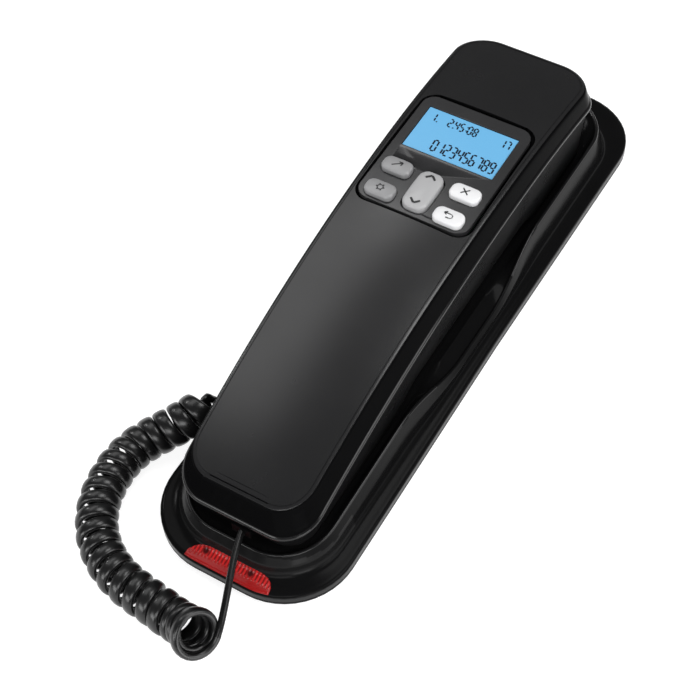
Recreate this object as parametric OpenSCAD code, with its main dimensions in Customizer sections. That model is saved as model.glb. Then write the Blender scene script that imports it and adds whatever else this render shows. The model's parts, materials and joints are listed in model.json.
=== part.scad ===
// Corded telephone: a slim handset with a display lies face down in a long cradle base,
// and a curly cord runs from the handset's near end round to a jack on the base's left side.
// X runs across the phone, +Y towards the earpiece end, +Z up; the table is z = 0.

/* [Base] */
// Width of the base over its flange
base_w = 63.6; // [62.8:0.2:70]
// Length of the base over its flange
base_l = 232.5; // [230:0.5:250]
// Corner radius of the flange in plan
base_r = 23; // [20:0.5:26]
// Height of the flange's outer edge above the table
flange_h = 4; // [3.6:0.1:5]
// Wall of the moulded housing
base_wall = 2; // [1.6:0.1:2.4]
// Thickness of the bottom plate
plate_t = 1.4; // [1.2:0.1:2]
// Step of the bottom plate behind the flange's edge
plate_step = 0.5; // [0.2:0.1:1]
// Height of the rubber feet below the bottom plate
foot_h = 0.8; // [0.6:0.1:1.2]
// Radius of a rubber foot
foot_radius = 6; // [4:0.5:7]
// Height of the cradle's rim at the near end
rim_near_z = 13.6; // [13.4:0.1:14.4]
// Height of the cradle's rim along the far half
rim_far_z = 19.2; // [18:0.1:20.5]
// Lowest height of the rim in the finger scallops
scallop_z = 11.8; // [11.6:0.1:13]
// How far the rim bows outwards in the finger scallops
scallop_bow = 2.2; // [1.4:0.1:2.4]
// Thickness of the rim
rim_w = 1.2; // [1:0.1:1.6]
// Height of the cradle's floor under the ends of the handset
well_z = 12.4; // [12.3:0.1:12.7]
// Rise of the cradle's floor under the dial
floor_rise = 0.8; // [0.4:0.1:1.2]
// Gap between handset and rim along the sides
cradle_gap_side = 1.1; // [0.9:0.1:1.5]
// Gap between handset and rim at the near end
cradle_gap_near = 1.8; // [1.6:0.1:2.4]
// Gap between handset and rim at the far end
cradle_gap_far = 11; // [9:0.5:12]

/* [Handset] */
// Width of the handset at its lower edge
hand_w = 48.8; // [48.4:0.2:49.8]
// Length of the handset
hand_l = 194.4; // [193:0.2:195.4]
// How far the handset's middle lies towards the near end
hand_shift = 8.6; // [8.2:0.1:9]
// Corner radius of the handset in plan
hand_r = 12; // [9:0.5:14]
// Height of the back's top edge at its highest place
arch_peak_z = 51.2; // [50.8:0.1:52]
// Place of the highest section along the phone
arch_peak_y = 25; // [23:1:28]
// Fall of the back from its highest section to the near end
arch_near_drop = 19.9; // [19:0.1:20.4]
// Fall of the back from its highest section to the far end
arch_far_drop = 5.5; // [4:0.1:7]
// Crown of the back across its width
back_crown = 0.5; // [0.3:0.1:0.6]
// Height of the glossy bevel round the back
bevel_h = 7.9; // [7.4:0.1:8.6]
// Lean of the bevel along the sides
bevel_side = 2; // [1.6:0.1:2.6]
// Lean of the bevel at the near end
bevel_near = 2.8; // [2.4:0.1:3.6]
// Lean of the bevel at the far end
bevel_far = 3.4; // [3:0.1:4]
// Height of the lip below the bevel
lip_h = 1.8; // [1.4:0.1:2.2]
// Step from the lip in to the face shell
seam_step = 0.8; // [0.4:0.1:1.2]
// Wall of the two handset shells
hand_wall = 2; // [1.6:0.1:2.4]
// Wall of the back over the display
roof_t = 3.2; // [2.8:0.1:3.6]
// Height of the face under the dial keys, handset at rest
face_mid_z = 18.5; // [18.2:0.1:19]
// Gap between the handset's two ends and the cradle's wells
rest_gap = 0.4; // [0.3:0.05:0.6]

/* [Display] */
// Width of the display panel
panel_w = 38.6; // [38.2:0.2:39.6]
// Length of the display panel
panel_l = 49.2; // [48.4:0.2:50.6]
// Middle of the display panel along the phone
panel_y = 22.4; // [22:0.1:23]
// Corner radius of the display panel
panel_r = 4.5; // [3:0.5:6]
// Thickness of the display panel
panel_t = 2.2; // [1.8:0.1:2.4]
// Height of the panel's face above the back's highest edge
panel_proud = 0.6; // [0.5:0.1:0.8]
// Width of the display's window
window_w = 32; // [30:0.2:33.4]
// Length of the display's window
window_l = 19; // [16:0.2:20]
// Middle of the window along the phone
window_y = 32.5; // [32:0.1:33]

/* [Menu keys] */
// Width of a menu key
menu_w = 9.8; // [9:0.1:10.4]
// Length of a menu key along the phone
menu_l = 5.8; // [5:0.1:6.6]
// Distance of a menu key's middle from the centre line
menu_x = 12; // [11.6:0.1:12.3]
// Distance from the panel's near end to the middle of the lower pair of menu keys
menu_edge = 4.2; // [4:0.1:4.6]
// Distance between the two pairs of menu keys
menu_pitch = 10.9; // [10.6:0.1:11.2]
// Width of the scroll rocker
rocker_w = 8.4; // [7.6:0.1:9]
// Length of the scroll rocker
rocker_l = 16; // [14:0.2:17]
// Distance from the lower pair of menu keys up to the rocker's middle
rocker_up = 5.6; // [5.4:0.1:6]
// Height of the keys above the panel
menu_rise = 2; // [1.6:0.1:2.4]
// Travel of a menu key
menu_travel = 0.8; // [0.5:0.1:0.9]

/* [Dial keys] */
// Width of a dial key
dial_w = 9; // [8:0.1:9.6]
// Length of a dial key along the phone
dial_l = 6.5; // [5.5:0.1:7]
// Pitch of the dial keys across the phone
dial_pitch_x = 11.2; // [10.8:0.1:11.4]
// Pitch of the dial keys along the phone
dial_pitch_y = 12.5; // [11:0.1:13]
// Middle of the row of keys next to the earpiece
dial_top_y = 24; // [22:0.5:26]
// Length of a function key along the phone
function_l = 4.2; // [3.5:0.1:5]
// Height of the dial keys below the face
dial_rise = 1.5; // [1.2:0.1:1.8]
// Travel of a dial key
dial_travel = 0.9; // [0.5:0.1:1]
// Rim of the dial plate round its keys
dial_margin = 1.6; // [1.2:0.1:1.8]

/* [Handset socket] */
// Distance of the cord's socket from the centre line
socket_x = 2.8; // [2.4:0.1:5]
// Height of the socket's middle, handset at rest
socket_z = 18.6; // [18.4:0.1:18.8]

/* [Ringer lens] */
// Width of the red lens along the base's front edge
lens_w = 30; // [28:0.5:31]
// Height of the lens up the flange
lens_h = 10.6; // [9.6:0.1:11]
// Wall of the lens
lens_t = 1.6; // [1.2:0.1:2]

/* [Hook switch] */
// Radius of the hook plunger
plunger_r = 4; // [3:0.1:5]
// Place of the hook plunger along the phone
plunger_y = -76; // [-78:0.5:-74]
// Rise of the plunger when the handset is lifted
plunger_travel = 2.2; // [1.6:0.1:2.3]

/* [Wall mounting] */
// Distance between the two keyholes
keyhole_pitch = 82.55; // [80:0.05:84]
// Radius of a keyhole's round entry
keyhole_r = 4.2; // [4:0.1:5]
// Width of a keyhole's slot
keyhole_slot_w = 4.4; // [4:0.1:5]
// Length of a keyhole's slot
keyhole_slot_l = 8; // [6:0.5:10]

/* [Cord] */
// Outer diameter of the curly cord
coil_od = 13.5; // [13:0.1:13.7]
// Curls in the cord
coil_turns = 22; // [19:1:23]
// Thickness of the cord across the curl
cord_t = 2.2; // [1.8:0.1:2.4]
// Width of the cord along the curl
cord_w = 2.7; // [2.2:0.1:2.8]
// Width of the modular plugs
plug_w = 7.6; // [7.4:0.05:7.7]
// Height of the modular plugs
plug_h = 5.9; // [5.6:0.05:6]
// Length of a plug's body inside its socket
plug_body = 7.6; // [7:0.1:8]
// Height of a plug's neck outside its socket
plug_neck_h = 3.8; // [3.4:0.1:4]

/* [Hidden] */
$fn = 48;
clear = 0.25;
fit = 0.12;
touch = 0.05;
eps = 0.01;
far = 40;

// Small helpers for numbers and vectors
function clamp01(u) = min(1, max(0, u));
function ease(u) = let (v = clamp01(u)) v * v * (3 - 2 * v);
function mix(a, b, u) = a + (b - a) * u;
function unit(v) = v / norm(v);

// Heights that the base is built on
plate_z = foot_h;
plate_top = plate_z + plate_t;
foot_seat = 0.4;

// Plan outlines are [half width, near end, far end, corner radius]; all of them widen towards the far end
taper = 0.0005;
function inset(o, d) = [o[0] - d, o[1] + d, o[2] - d, max(o[3] - d, 0.8)];
function blend_outline(a, b, u) = [for (i = [0:3]) mix(a[i], b[i], u)];

hand_o = [hand_w / 2, -hand_l / 2 - hand_shift, hand_l / 2 - hand_shift, hand_r];
back_o = [hand_o[0] - bevel_side, hand_o[1] + bevel_near, hand_o[2] - bevel_far, hand_r - 0.5];
seam_o = inset(hand_o, seam_step);
face_in = 4.4;
face_o = inset(seam_o, face_in);
flange_o = [base_w / 2, -base_l / 2, base_l / 2, base_r];
rim_in_o = [seam_o[0] + cradle_gap_side, seam_o[1] - cradle_gap_near, seam_o[2] + cradle_gap_far, base_r - 6];
rim_out_o = inset(rim_in_o, -rim_w);
floor_o = inset(face_o, -1.8);

// The back's arch along the phone, and the narrowing of its flat top towards the near end
arch_near_power = 2.14;
back_narrow = 0.00095;
function back_z(y) = arch_peak_z - (y < arch_peak_y
    ? arch_near_drop * pow((arch_peak_y - y) / (arch_peak_y - back_o[1]), arch_near_power)
    : arch_far_drop * pow((y - arch_peak_y) / (back_o[2] - arch_peak_y), 2));
function crowned_z(x, y) = back_z(y) + back_crown * (1 - pow(x / back_o[0], 2));
function lip_z(y) = back_z(y) - bevel_h;
function seam_z(y) = lip_z(y) - lip_h - touch;

// The face is level under the dial and drops towards mouthpiece and earpiece
face_end_z = well_z + rest_gap;
dial_rows = 4;
function_y = dial_top_y - dial_rows * dial_pitch_y + 1;
dial_plate_y1 = dial_top_y + dial_l / 2 + dial_margin + 1.5;
dial_plate_y0 = function_y - function_l / 2 - dial_margin - 1.5;
dial_lip = 1;
face_ramp = 18;
face_level_y0 = dial_plate_y0 - 3.5;
face_level_y1 = dial_plate_y1 + 3.5;
function end_share(y) = y < 0 ? ease((face_level_y0 - y) / face_ramp) : ease((y - face_level_y1) / face_ramp);
function face_z(y) = mix(face_mid_z, face_end_z, end_share(y));
function floor_z(y) = mix(well_z + floor_rise, well_z, end_share(y));

// The rim climbs from the near end and dips in the finger scallops
rim_rise_y = -21;
scallop_y0 = -50.5;
scallop_y1 = 41;
scallop_near_ramp = 34;
scallop_far_ramp = 38;
function rim_line(y) = rim_far_z
    - (rim_far_z - rim_near_z) * clamp01((rim_rise_y - y) / (rim_rise_y - rim_out_o[1]));
function scallop_share(y) = ease((y - scallop_y0) / scallop_near_ramp)
    * ease((scallop_y1 - y) / scallop_far_ramp);
function rim_z(y) = mix(rim_line(y), scallop_z, scallop_share(y));

// Rings of points for the moulded shells: right half from near to far, then its mirror image
corner_steps = 6;
function half_outline(o, steps) = concat(
    [for (i = [0:corner_steps]) let (a = -90 + 90 * i / corner_steps)
        [o[0] - o[3] + o[3] * cos(a), o[1] + o[3] + o[3] * sin(a)]],
    [for (i = [1:steps - 1]) [o[0], mix(o[1] + o[3], o[2] - o[3], i / steps)]],
    [for (i = [0:corner_steps]) let (a = 90 * i / corner_steps)
        [o[0] - o[3] + o[3] * cos(a), o[2] - o[3] + o[3] * sin(a)]]);
function ring(o, steps, z, narrow = taper, bow = 0) = let (h = half_outline(o, steps)) concat(
    [for (p = h) [p[0] * (1 + narrow * p[1]) + bow * scallop_share(p[1]), p[1], z(p[0], p[1])]],
    [for (i = [len(h) - 1:-1:0]) let (p = h[i])
        [-p[0] * (1 + narrow * p[1]) - bow * scallop_share(p[1]), p[1], z(p[0], p[1])]]);

// A closed solid through a list of rings, with both end rings closed by rungs across the centre line
module ring_loft(rings) {
    n = len(rings[0]);
    m = n / 2;
    last = (len(rings) - 1) * n;
    sides = [for (k = [0:len(rings) - 2], i = [0:n - 1])
        let (a = k * n + i, b = k * n + (i + 1) % n, c = a + n, d = b + n)
            each [[a, c, d], [a, d, b]]];
    first_cap = [for (j = [0:m - 2]) let (l = n - 1 - j) each [[j, l - 1, l], [j, j + 1, l - 1]]];
    last_cap = [for (j = [0:m - 2]) let (r = last + j, l = last + n - 1 - j)
        each [[r, l, l - 1], [r, l - 1, r + 1]]];
    polyhedron([for (r = rings, p = r) p], concat(sides, first_cap, last_cap), convexity = 8);
}

// A plate with round corners
module round_rect(w, l, r) {
    square([w - 2 * r, l], center = true);
    square([w, l - 2 * r], center = true);
    for (x = [-1, 1], y = [-1, 1]) translate([x * (w / 2 - r), y * (l / 2 - r)]) circle(r);
}

module round_plate(w, l, r, z0, z1) {
    translate([0, 0, z0]) linear_extrude(z1 - z0) round_rect(w, l, r);
}

module outline_plate(o, z0, z1) {
    translate([0, 0, z0]) linear_extrude(z1 - z0)
        polygon([for (p = ring(o, 2, function(x, y) 0)) [p[0], p[1]]]);
}

module box(x0, x1, y0, y1, z0, z1) {
    translate([x0, y0, z0]) cube([x1 - x0, y1 - y0, z1 - z0]);
}

module rod(x, y, z0, z1, r) {
    translate([x, y, z0]) cylinder(h = z1 - z0, r = r);
}

// Base housing

base_steps = 20;
wall_stations = [[0, plate_top, 0], [0, flange_h - 0.6, 0], [0.06, flange_h, 0], [0.16, flange_h + 0.5, 0],
    [0.4, flange_h + 1.6, 0], [0.56, flange_h + 3.2, 0.3], [0.68, flange_h + 6.2, 0.75]];

// Outer skin of the base from its lower edge to the rim, grown outwards by a distance
function outer_skin(grow) = concat(
    [for (s = wall_stations)
        ring(inset(blend_outline(flange_o, rim_out_o, s[0]), -grow), base_steps, function(x, y) s[1] + grow,
            bow = s[2] * scallop_bow)],
    [ring(inset(rim_out_o, -grow), base_steps, function(x, y) rim_z(y) - 0.4 + grow, bow = scallop_bow)]);

inner_stations = [[0.25, plate_top], [0.25, plate_top + 0.6], [0.5, flange_h + 0.2],
    [0.8, flange_h + 4.2], [1.02, flange_h + 5.4]];
roof_under_floor = function(x, y) floor_z(y) - base_wall;
floor_turn = 0.5;

function housing_rings() = concat(
    [ring(floor_o, base_steps, roof_under_floor)],
    [for (i = [len(inner_stations) - 1:-1:0]) let (s = inner_stations[i])
        ring(blend_outline(flange_o, rim_out_o, s[0]), base_steps, function(x, y) s[1])],
    outer_skin(0),
    [ring(inset(rim_out_o, rim_w / 2), base_steps, function(x, y) rim_z(y), bow = scallop_bow)],
    [ring(rim_in_o, base_steps, function(x, y) rim_z(y) - 0.3, bow = scallop_bow)],
    [ring(inset(floor_o, -1.8), base_steps, function(x, y) floor_z(y) + floor_turn)],
    [ring(floor_o, base_steps, function(x, y) floor_z(y))]);

base_screw_x = 19;
screw_r = 1.25;
boss_r = 3;
boss_top = well_z - base_wall + 0.5;

line_jack_w = 13;
line_jack_d = 14;
line_jack_y = rim_in_o[2] + 4;
cord_jack_w = 11;
cord_jack_d = 12.5;
cord_jack_y = -66;
screw_from_jack = 16.25;
base_screw_y = [cord_jack_y - screw_from_jack, base_l / 2 - 40];
cord_jack_x = -base_w / 2 + 5;
jack_top = well_z - base_wall - 0.3;
notch_gap = 0.5;

module base_housing() color("#141416") difference() {
    union() {
        ring_loft(housing_rings());
        for (x = [-1, 1], y = base_screw_y) rod(x * base_screw_x, y, plate_top, boss_top, boss_r);
    }
    for (x = [-1, 1], y = base_screw_y) rod(x * base_screw_x, y, plate_z, boss_top - 1, screw_r + touch);
    rod(0, plunger_y, plate_top, far, plunger_r + clear);
    lens_prism(clear);
    box(-line_jack_w / 2 - notch_gap, line_jack_w / 2 + notch_gap, line_jack_y, base_l,
        plate_z, jack_top + notch_gap);
    box(-base_w, cord_jack_x, cord_jack_y - cord_jack_w / 2 - notch_gap,
        cord_jack_y + cord_jack_w / 2 + notch_gap, plate_z, jack_top + notch_gap);
    box(-line_jack_w / 2 - fit, line_jack_w / 2 + fit, line_jack_y - line_jack_d - fit, line_jack_y + eps,
        plate_z, jack_top + fit);
    box(cord_jack_x - eps, cord_jack_x + cord_jack_d + fit, cord_jack_y - cord_jack_w / 2 - fit,
        cord_jack_y + cord_jack_w / 2 + fit, plate_z, jack_top + fit);
}

// Bottom plate with keyholes, screw holes and sound holes

foot_x = base_w / 2 - 12;
foot_y = base_l / 2 - 17.5;
screw_head_r = 2.6;
screw_head_h = 0.7;
post_h = 0.6;
board_z = plate_top + post_h;
board_t = 1.4;
board_side = 19.3;
board_x = base_w / 2 - board_side;
board_behind_rim = 4.25;
board_y0 = rim_out_o[1] + board_behind_rim;
board_l = 52;
board_y1 = board_y0 + board_l;
ringer_r = 13;
ringer_y = 4;
sound_hole_r = 1.2;
sound_ring_r = 6;

module keyhole(y) {
    rod(0, y, 0, plate_top + eps, keyhole_r);
    translate([-keyhole_slot_w / 2, y, 0]) cube([keyhole_slot_w, keyhole_slot_l, plate_top + eps]);
    rod(0, y + keyhole_slot_l, 0, plate_top + eps, keyhole_slot_w / 2);
}

module base_plate() color("#1b1b1d") difference() {
    union() {
        outline_plate(inset(flange_o, plate_step), plate_z, plate_top);
        for (x = [-1, 1], y = [board_y0 + 4, board_y1 - 4]) rod(x * (board_x - 3), y, plate_top, board_z, 2);
    }
    for (y = [-1, 1]) keyhole(y * keyhole_pitch / 2);
    for (x = [-1, 1], y = [-1, 1]) rod(x * foot_x, y * foot_y, 0, plate_z + foot_seat, foot_radius + touch);
    for (x = [-1, 1], y = base_screw_y) {
        rod(x * base_screw_x, y, 0, plate_top + eps, screw_r + touch);
        rod(x * base_screw_x, y, 0, plate_z + screw_head_h, screw_head_r + touch);
    }
    for (a = [0:60:300])
        rod(sound_ring_r * cos(a), ringer_y + sound_ring_r * sin(a), 0, plate_top + eps, sound_hole_r);
    box(-line_jack_w / 2 - notch_gap, line_jack_w / 2 + notch_gap, line_jack_y, base_l, 0, far);
}

module rubber_feet() color("#2a2a2c")
    for (x = [-1, 1], y = [-1, 1]) rod(x * foot_x, y * foot_y, 0, plate_z + foot_seat, foot_radius);

module base_screws() color("silver")
    for (x = [-1, 1], y = base_screw_y) {
        rod(x * base_screw_x, y, plate_z, boss_top - 1.5, screw_r);
        rod(x * base_screw_x, y, plate_z, plate_z + screw_head_h, screw_head_r);
    }

// Red ringer lens in the flange's front edge, and the two lamps behind it

lens_tilt = 45;
lens_proud = 0.3;

module lens_outline(grow) {
    radius = (lens_w * lens_w / 4 + lens_h * lens_h) / (2 * lens_h);
    intersection() {
        translate([0, lens_h - radius]) circle(radius + grow, $fn = 96);
        translate([-lens_w, -grow]) square([2 * lens_w, lens_w]);
    }
}

module lens_prism(grow) {
    translate([0, -base_l / 2 - 0.1, plate_top - 0.5]) rotate([lens_tilt, 0, 0])
        translate([0, 0, -2.5]) linear_extrude(far) lens_outline(grow);
}

rib_pitch = 1.35;
rib_gap = 0.5;
rib_depth = 0.35;
rib_foot = 3.4;
rib_count = floor((lens_w / 2 - 4) / rib_pitch);

// Slits between the ribs, on the upper slope of the lens
module lens_slits() {
    difference() {
        for (i = [-rib_count:rib_count])
            translate([i * rib_pitch - rib_gap / 2, -base_l / 2 - 0.1, plate_top - 0.5])
                rotate([lens_tilt, 0, 0]) translate([0, rib_foot, -2])
                    cube([rib_gap, lens_h - rib_foot - 1.4 - abs(i) * 0.25, far / 4]);
        ring_loft(outer_skin(lens_proud - rib_depth));
    }
}

module ring_lens() color("#d0140f") difference() {
    intersection() {
        difference() {
            ring_loft(outer_skin(lens_proud));
            translate([0, lens_t * 0.7, -lens_t * 0.7]) ring_loft(outer_skin(lens_proud));
        }
        lens_prism(0);
    }
    lens_slits();
}

lamp_r = 1.5;
lamp_x = 7.5;
lamp_z = board_z + board_t + lamp_r + 0.2;

module ring_lamps() color("#f2c9c4")
    for (x = [-1, 1]) translate([x * lamp_x, board_y0, lamp_z]) {
        rotate([90, 0, 0]) cylinder(h = 2.6, r = lamp_r);
        translate([0, -2.6, 0]) sphere(lamp_r);
    }

// Pieces inside the base

switch_h = 2.8;
switch_w = 10;
plunger_flange = 1.1;
plunger_foot_z = board_z + board_t + switch_h + touch;

module base_board() color("#1f6b3a")
    box(-board_x, board_x, board_y0, board_y1, board_z, board_z + board_t);

module hook_switch() color("#222222")
    box(-switch_w / 2, switch_w / 2, plunger_y - switch_w / 2, plunger_y + switch_w / 2,
        board_z + board_t, board_z + board_t + switch_h);

module ringer() color("#c8a24a") {
    rod(0, ringer_y, plate_top, plate_top + 2, ringer_r);
    rod(0, ringer_y, plate_top + 2, plate_top + 4, ringer_r - 2);
}

module hook_plunger() color("#19191b") {
    rod(0, plunger_y, plunger_foot_z, face_end_z - 0.1, plunger_r);
    rod(0, plunger_y, plunger_foot_z, plunger_foot_z + plunger_flange, plunger_r + 1.5);
}

// A modular socket whose mouth faces -Y at the origin, with the cavity's floor at z = 0
module modular_jack(w, h, depth, mouth_w, mouth_h, mouth_depth, sill) {
    difference() {
        translate([-w / 2, 0, -sill]) cube([w, depth, h]);
        translate([-mouth_w / 2, -eps, 0]) cube([mouth_w, mouth_depth, mouth_h]);
    }
}

line_mouth_w = 9.8;
line_mouth_h = 6.7;
line_mouth_d = 11;
jack_sill = 0.6;

module line_jack() color("#26262a")
    translate([0, line_jack_y - touch, plate_top + jack_sill]) rotate([0, 0, 180])
        modular_jack(line_jack_w, jack_top - plate_top, line_jack_d, line_mouth_w, line_mouth_h,
            line_mouth_d, jack_sill);

socket_w = plug_w + 2 * fit;
socket_h = plug_h + 2 * fit;
socket_d = 10;
cord_jack_sill = 1.2;
cord_jack_floor = plate_top + cord_jack_sill;

module cord_jack() color("#26262a")
    translate([cord_jack_x + touch, cord_jack_y, cord_jack_floor]) rotate([0, 0, -90])
        modular_jack(cord_jack_w, jack_top - plate_top, cord_jack_d, socket_w, socket_h, socket_d,
            cord_jack_sill);

// Handset shells

hand_steps = 16;

function back_rings() = [
    ring(inset(back_o, hand_wall + 0.4), hand_steps, function(x, y) back_z(y) - roof_t, back_narrow),
    ring(inset(hand_o, hand_wall + 0.2), hand_steps, function(x, y) lip_z(y) - lip_h),
    ring(inset(hand_o, 0.5), hand_steps, function(x, y) lip_z(y) - lip_h),
    ring(hand_o, hand_steps, function(x, y) lip_z(y) - lip_h + 0.6),
    ring(hand_o, hand_steps, function(x, y) lip_z(y) - 0.4),
    ring(inset(hand_o, 0.35), hand_steps, function(x, y) lip_z(y)),
    ring(back_o, hand_steps, function(x, y) crowned_z(x, y) - 0.7, back_narrow),
    ring(inset(back_o, 0.25), hand_steps, function(x, y) crowned_z(x, y) - 0.2, back_narrow),
    ring(inset(back_o, 0.8), hand_steps, function(x, y) crowned_z(x, y), back_narrow),
    ring(inset(back_o, 7), hand_steps, function(x, y) crowned_z(x, y), back_narrow),
    ring(inset(back_o, 14), hand_steps, function(x, y) crowned_z(x, y), back_narrow)];

function face_rings() = [
    ring(face_o, hand_steps, function(x, y) face_z(y)),
    ring(inset(face_o, -1.4), hand_steps, function(x, y) face_z(y) + 0.5),
    ring(inset(face_o, -2.6), hand_steps, function(x, y) face_z(y) + 2.2),
    ring(inset(face_o, -3.4), hand_steps, function(x, y) mix(face_z(y), seam_z(y), 0.7)),
    ring(seam_o, hand_steps, function(x, y) seam_z(y)),
    ring(inset(seam_o, hand_wall), hand_steps, function(x, y) seam_z(y)),
    ring(inset(face_o, -3.4 + hand_wall), hand_steps,
        function(x, y) mix(face_z(y) + hand_wall, seam_z(y), 0.5)),
    ring(inset(face_o, 0.3), hand_steps, function(x, y) face_z(y) + hand_wall)];

panel_z = arch_peak_z + panel_proud;
panel_seat = panel_z - panel_t;
panel_ledge = 0.8;
hand_screw_y = [-64, dial_plate_y1 + 22];
hand_boss_z = 27;
hand_boss_r = 2.6;

module handset_back() color("#1d1d20") difference() {
    union() {
        ring_loft(back_rings());
        for (y = hand_screw_y) rod(0, y, hand_boss_z + touch, back_z(y) - roof_t + 1, hand_boss_r);
    }
    translate([0, panel_y, 0]) {
        round_plate(panel_w + 2 * clear, panel_l + 2 * clear, panel_r + clear, panel_seat, far + far);
        round_plate(panel_w - 2 * panel_ledge, panel_l - 2 * panel_ledge, panel_r - panel_ledge,
            face_mid_z, far + far);
    }
    for (y = hand_screw_y) rod(0, y, hand_boss_z - eps, back_z(y) - roof_t - 1, screw_r + touch);
}

dial_rows_x = 3;
dial_plate_w = 2 * dial_pitch_x + dial_w + 2 * dial_margin;
dial_plate_l = dial_plate_y1 - dial_plate_y0;
dial_plate_mid = (dial_plate_y0 + dial_plate_y1) / 2;
dial_plate_r = 4;
ear_y = face_level_y1 + face_ramp + 17;
ear_r = 10.5;
mic_y = -80;
mic_hole_r = 0.9;
mic_port_x = socket_x - 6;
mic_port_z = socket_z - 1;
handset_jack_y = face_o[1] + 1.5;
handset_jack_w = 11.2;

module handset_face() color("#17171a") difference() {
    union() {
        ring_loft(face_rings());
        for (y = hand_screw_y) rod(0, y, face_z(y) + 0.5, hand_boss_z, hand_boss_r + 0.6);
    }
    translate([0, dial_plate_mid, 0])
        round_plate(dial_plate_w + 2 * fit, dial_plate_l + 2 * fit, dial_plate_r + fit, 0,
            face_mid_z + hand_wall + eps);
    rod(0, ear_y, 0, face_end_z + hand_wall + eps, ear_r + fit);
    for (x = [-2.5, 0, 2.5]) rod(x, mic_y, 0, face_end_z + hand_wall + eps, mic_hole_r);
    box(socket_x - socket_w / 2, socket_x + socket_w / 2, hand_o[1] - far, handset_jack_y,
        socket_z - socket_h / 2, socket_z + socket_h / 2);
    translate([mic_port_x, hand_o[1] + far / 2, mic_port_z]) rotate([90, 0, 0])
        cylinder(h = far, r = mic_hole_r);
    for (y = hand_screw_y) {
        rod(0, y, 0, hand_boss_z + eps, screw_r + touch);
        rod(0, y, 0, face_z(y) + 4, screw_head_r - 0.3);
    }
}

module handset_screws() color("silver")
    for (y = hand_screw_y) {
        rod(0, y, face_z(y) + 4, back_z(y) - roof_t - 1.5, screw_r);
        rod(0, y, face_z(y) + 2.5, face_z(y) + 4, screw_head_r - 0.4);
    }

// Display side of the handset

module menu_hole(x, y, w, l, r, gap) {
    translate([x, y]) round_rect(w + 2 * gap, l + 2 * gap, r + gap);
}

menu_r = 2;
menu_lower_y = panel_y - panel_l / 2 + menu_edge;
menu_upper_y = menu_lower_y + menu_pitch;
rocker_y = menu_lower_y + rocker_up;
rocker_r = 3;
rocker_gap = 0.5;

module display_panel() color("#3a3a3e")
    translate([0, 0, panel_seat]) linear_extrude(panel_t) difference() {
        translate([0, panel_y]) round_rect(panel_w, panel_l, panel_r);
        translate([0, window_y]) square([window_w + 2 * fit, window_l + 2 * fit], center = true);
        for (x = [-1, 1], y = [menu_upper_y, menu_lower_y])
            menu_hole(x * menu_x, y, menu_w, menu_l, menu_r, clear);
        menu_hole(0, rocker_y, rocker_w, rocker_l, rocker_r, rocker_gap);
    }

key_flange_t = 0.8;
key_flange = 0.5;
menu_flange_z = panel_seat - touch - key_flange_t;
mat_t = 1;
menu_mat_z = menu_flange_z - menu_travel - 0.15 - mat_t;
display_board_z = menu_mat_z - board_t;

module display_window() color("#79c3f2")
    box(-window_w / 2, window_w / 2, window_y - window_l / 2, window_y + window_l / 2,
        panel_seat + 0.2, panel_z - 0.25);

module display_module() color("#9fb4bd")
    box(-window_w / 2 - 1, window_w / 2 + 1, window_y - window_l / 2 - 1, window_y + window_l / 2 + 1,
        menu_mat_z, panel_seat - touch);

module menu_mat() color("#8d8f93")
    box(-panel_w / 2 + 3.2, panel_w / 2 - 3.2, menu_lower_y - 3, menu_upper_y + 4.3,
        menu_mat_z, menu_mat_z + mat_t - touch);

display_board_edge = 1.3;

module display_board() color("#1f6b3a")
    box(-window_w / 2 - display_board_edge, window_w / 2 + display_board_edge, menu_lower_y - 8,
        panel_y + panel_l / 2 - 4, display_board_z, display_board_z + board_t);

// A key cap with a gently domed top and a holding flange, standing on z = 0 with its flange at the bottom
module key_cap(w, l, r, rise, dome) {
    intersection() {
        linear_extrude(rise) round_rect(w, l, r);
        translate([0, 0, rise - dome]) sphere(dome, $fn = 96);
    }
    linear_extrude(key_flange_t) round_rect(w + 2 * key_flange, l + 2 * key_flange, r + key_flange);
}

menu_dome = 22;

module menu_key(x, y) color("#a9abae")
    translate([x, y, menu_flange_z])
        key_cap(menu_w, menu_l, menu_r, panel_z + menu_rise - menu_flange_z, menu_dome);

rocker_pivot_z = panel_seat;

// The rocker hangs on a pin through its middle, across the phone
module scroll_rocker() color("#c4c6c9") {
    translate([0, rocker_y, menu_flange_z]) intersection() {
        linear_extrude(panel_z + menu_rise - menu_flange_z) round_rect(rocker_w, rocker_l, rocker_r);
        translate([0, 0, panel_z + menu_rise - menu_flange_z - 2 * menu_dome])
            sphere(2 * menu_dome, $fn = 96);
    }
    translate([-rocker_w / 2 - 0.8, rocker_y, menu_flange_z + 0.4]) rotate([0, 90, 0])
        cylinder(h = rocker_w + 1.6, r = 0.4);
}

// Dial side of the handset

dial_post_r = 1.4;
dial_flange_z = face_mid_z + hand_wall + touch;
dial_mat_z = dial_flange_z + key_flange_t + dial_travel + 0.15;
dial_r = 2.6;
function_r = 1.8;
function dial_x(i) = dial_pitch_x * (1 - i);
function dial_y(row) = dial_top_y - row * dial_pitch_y;

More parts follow.
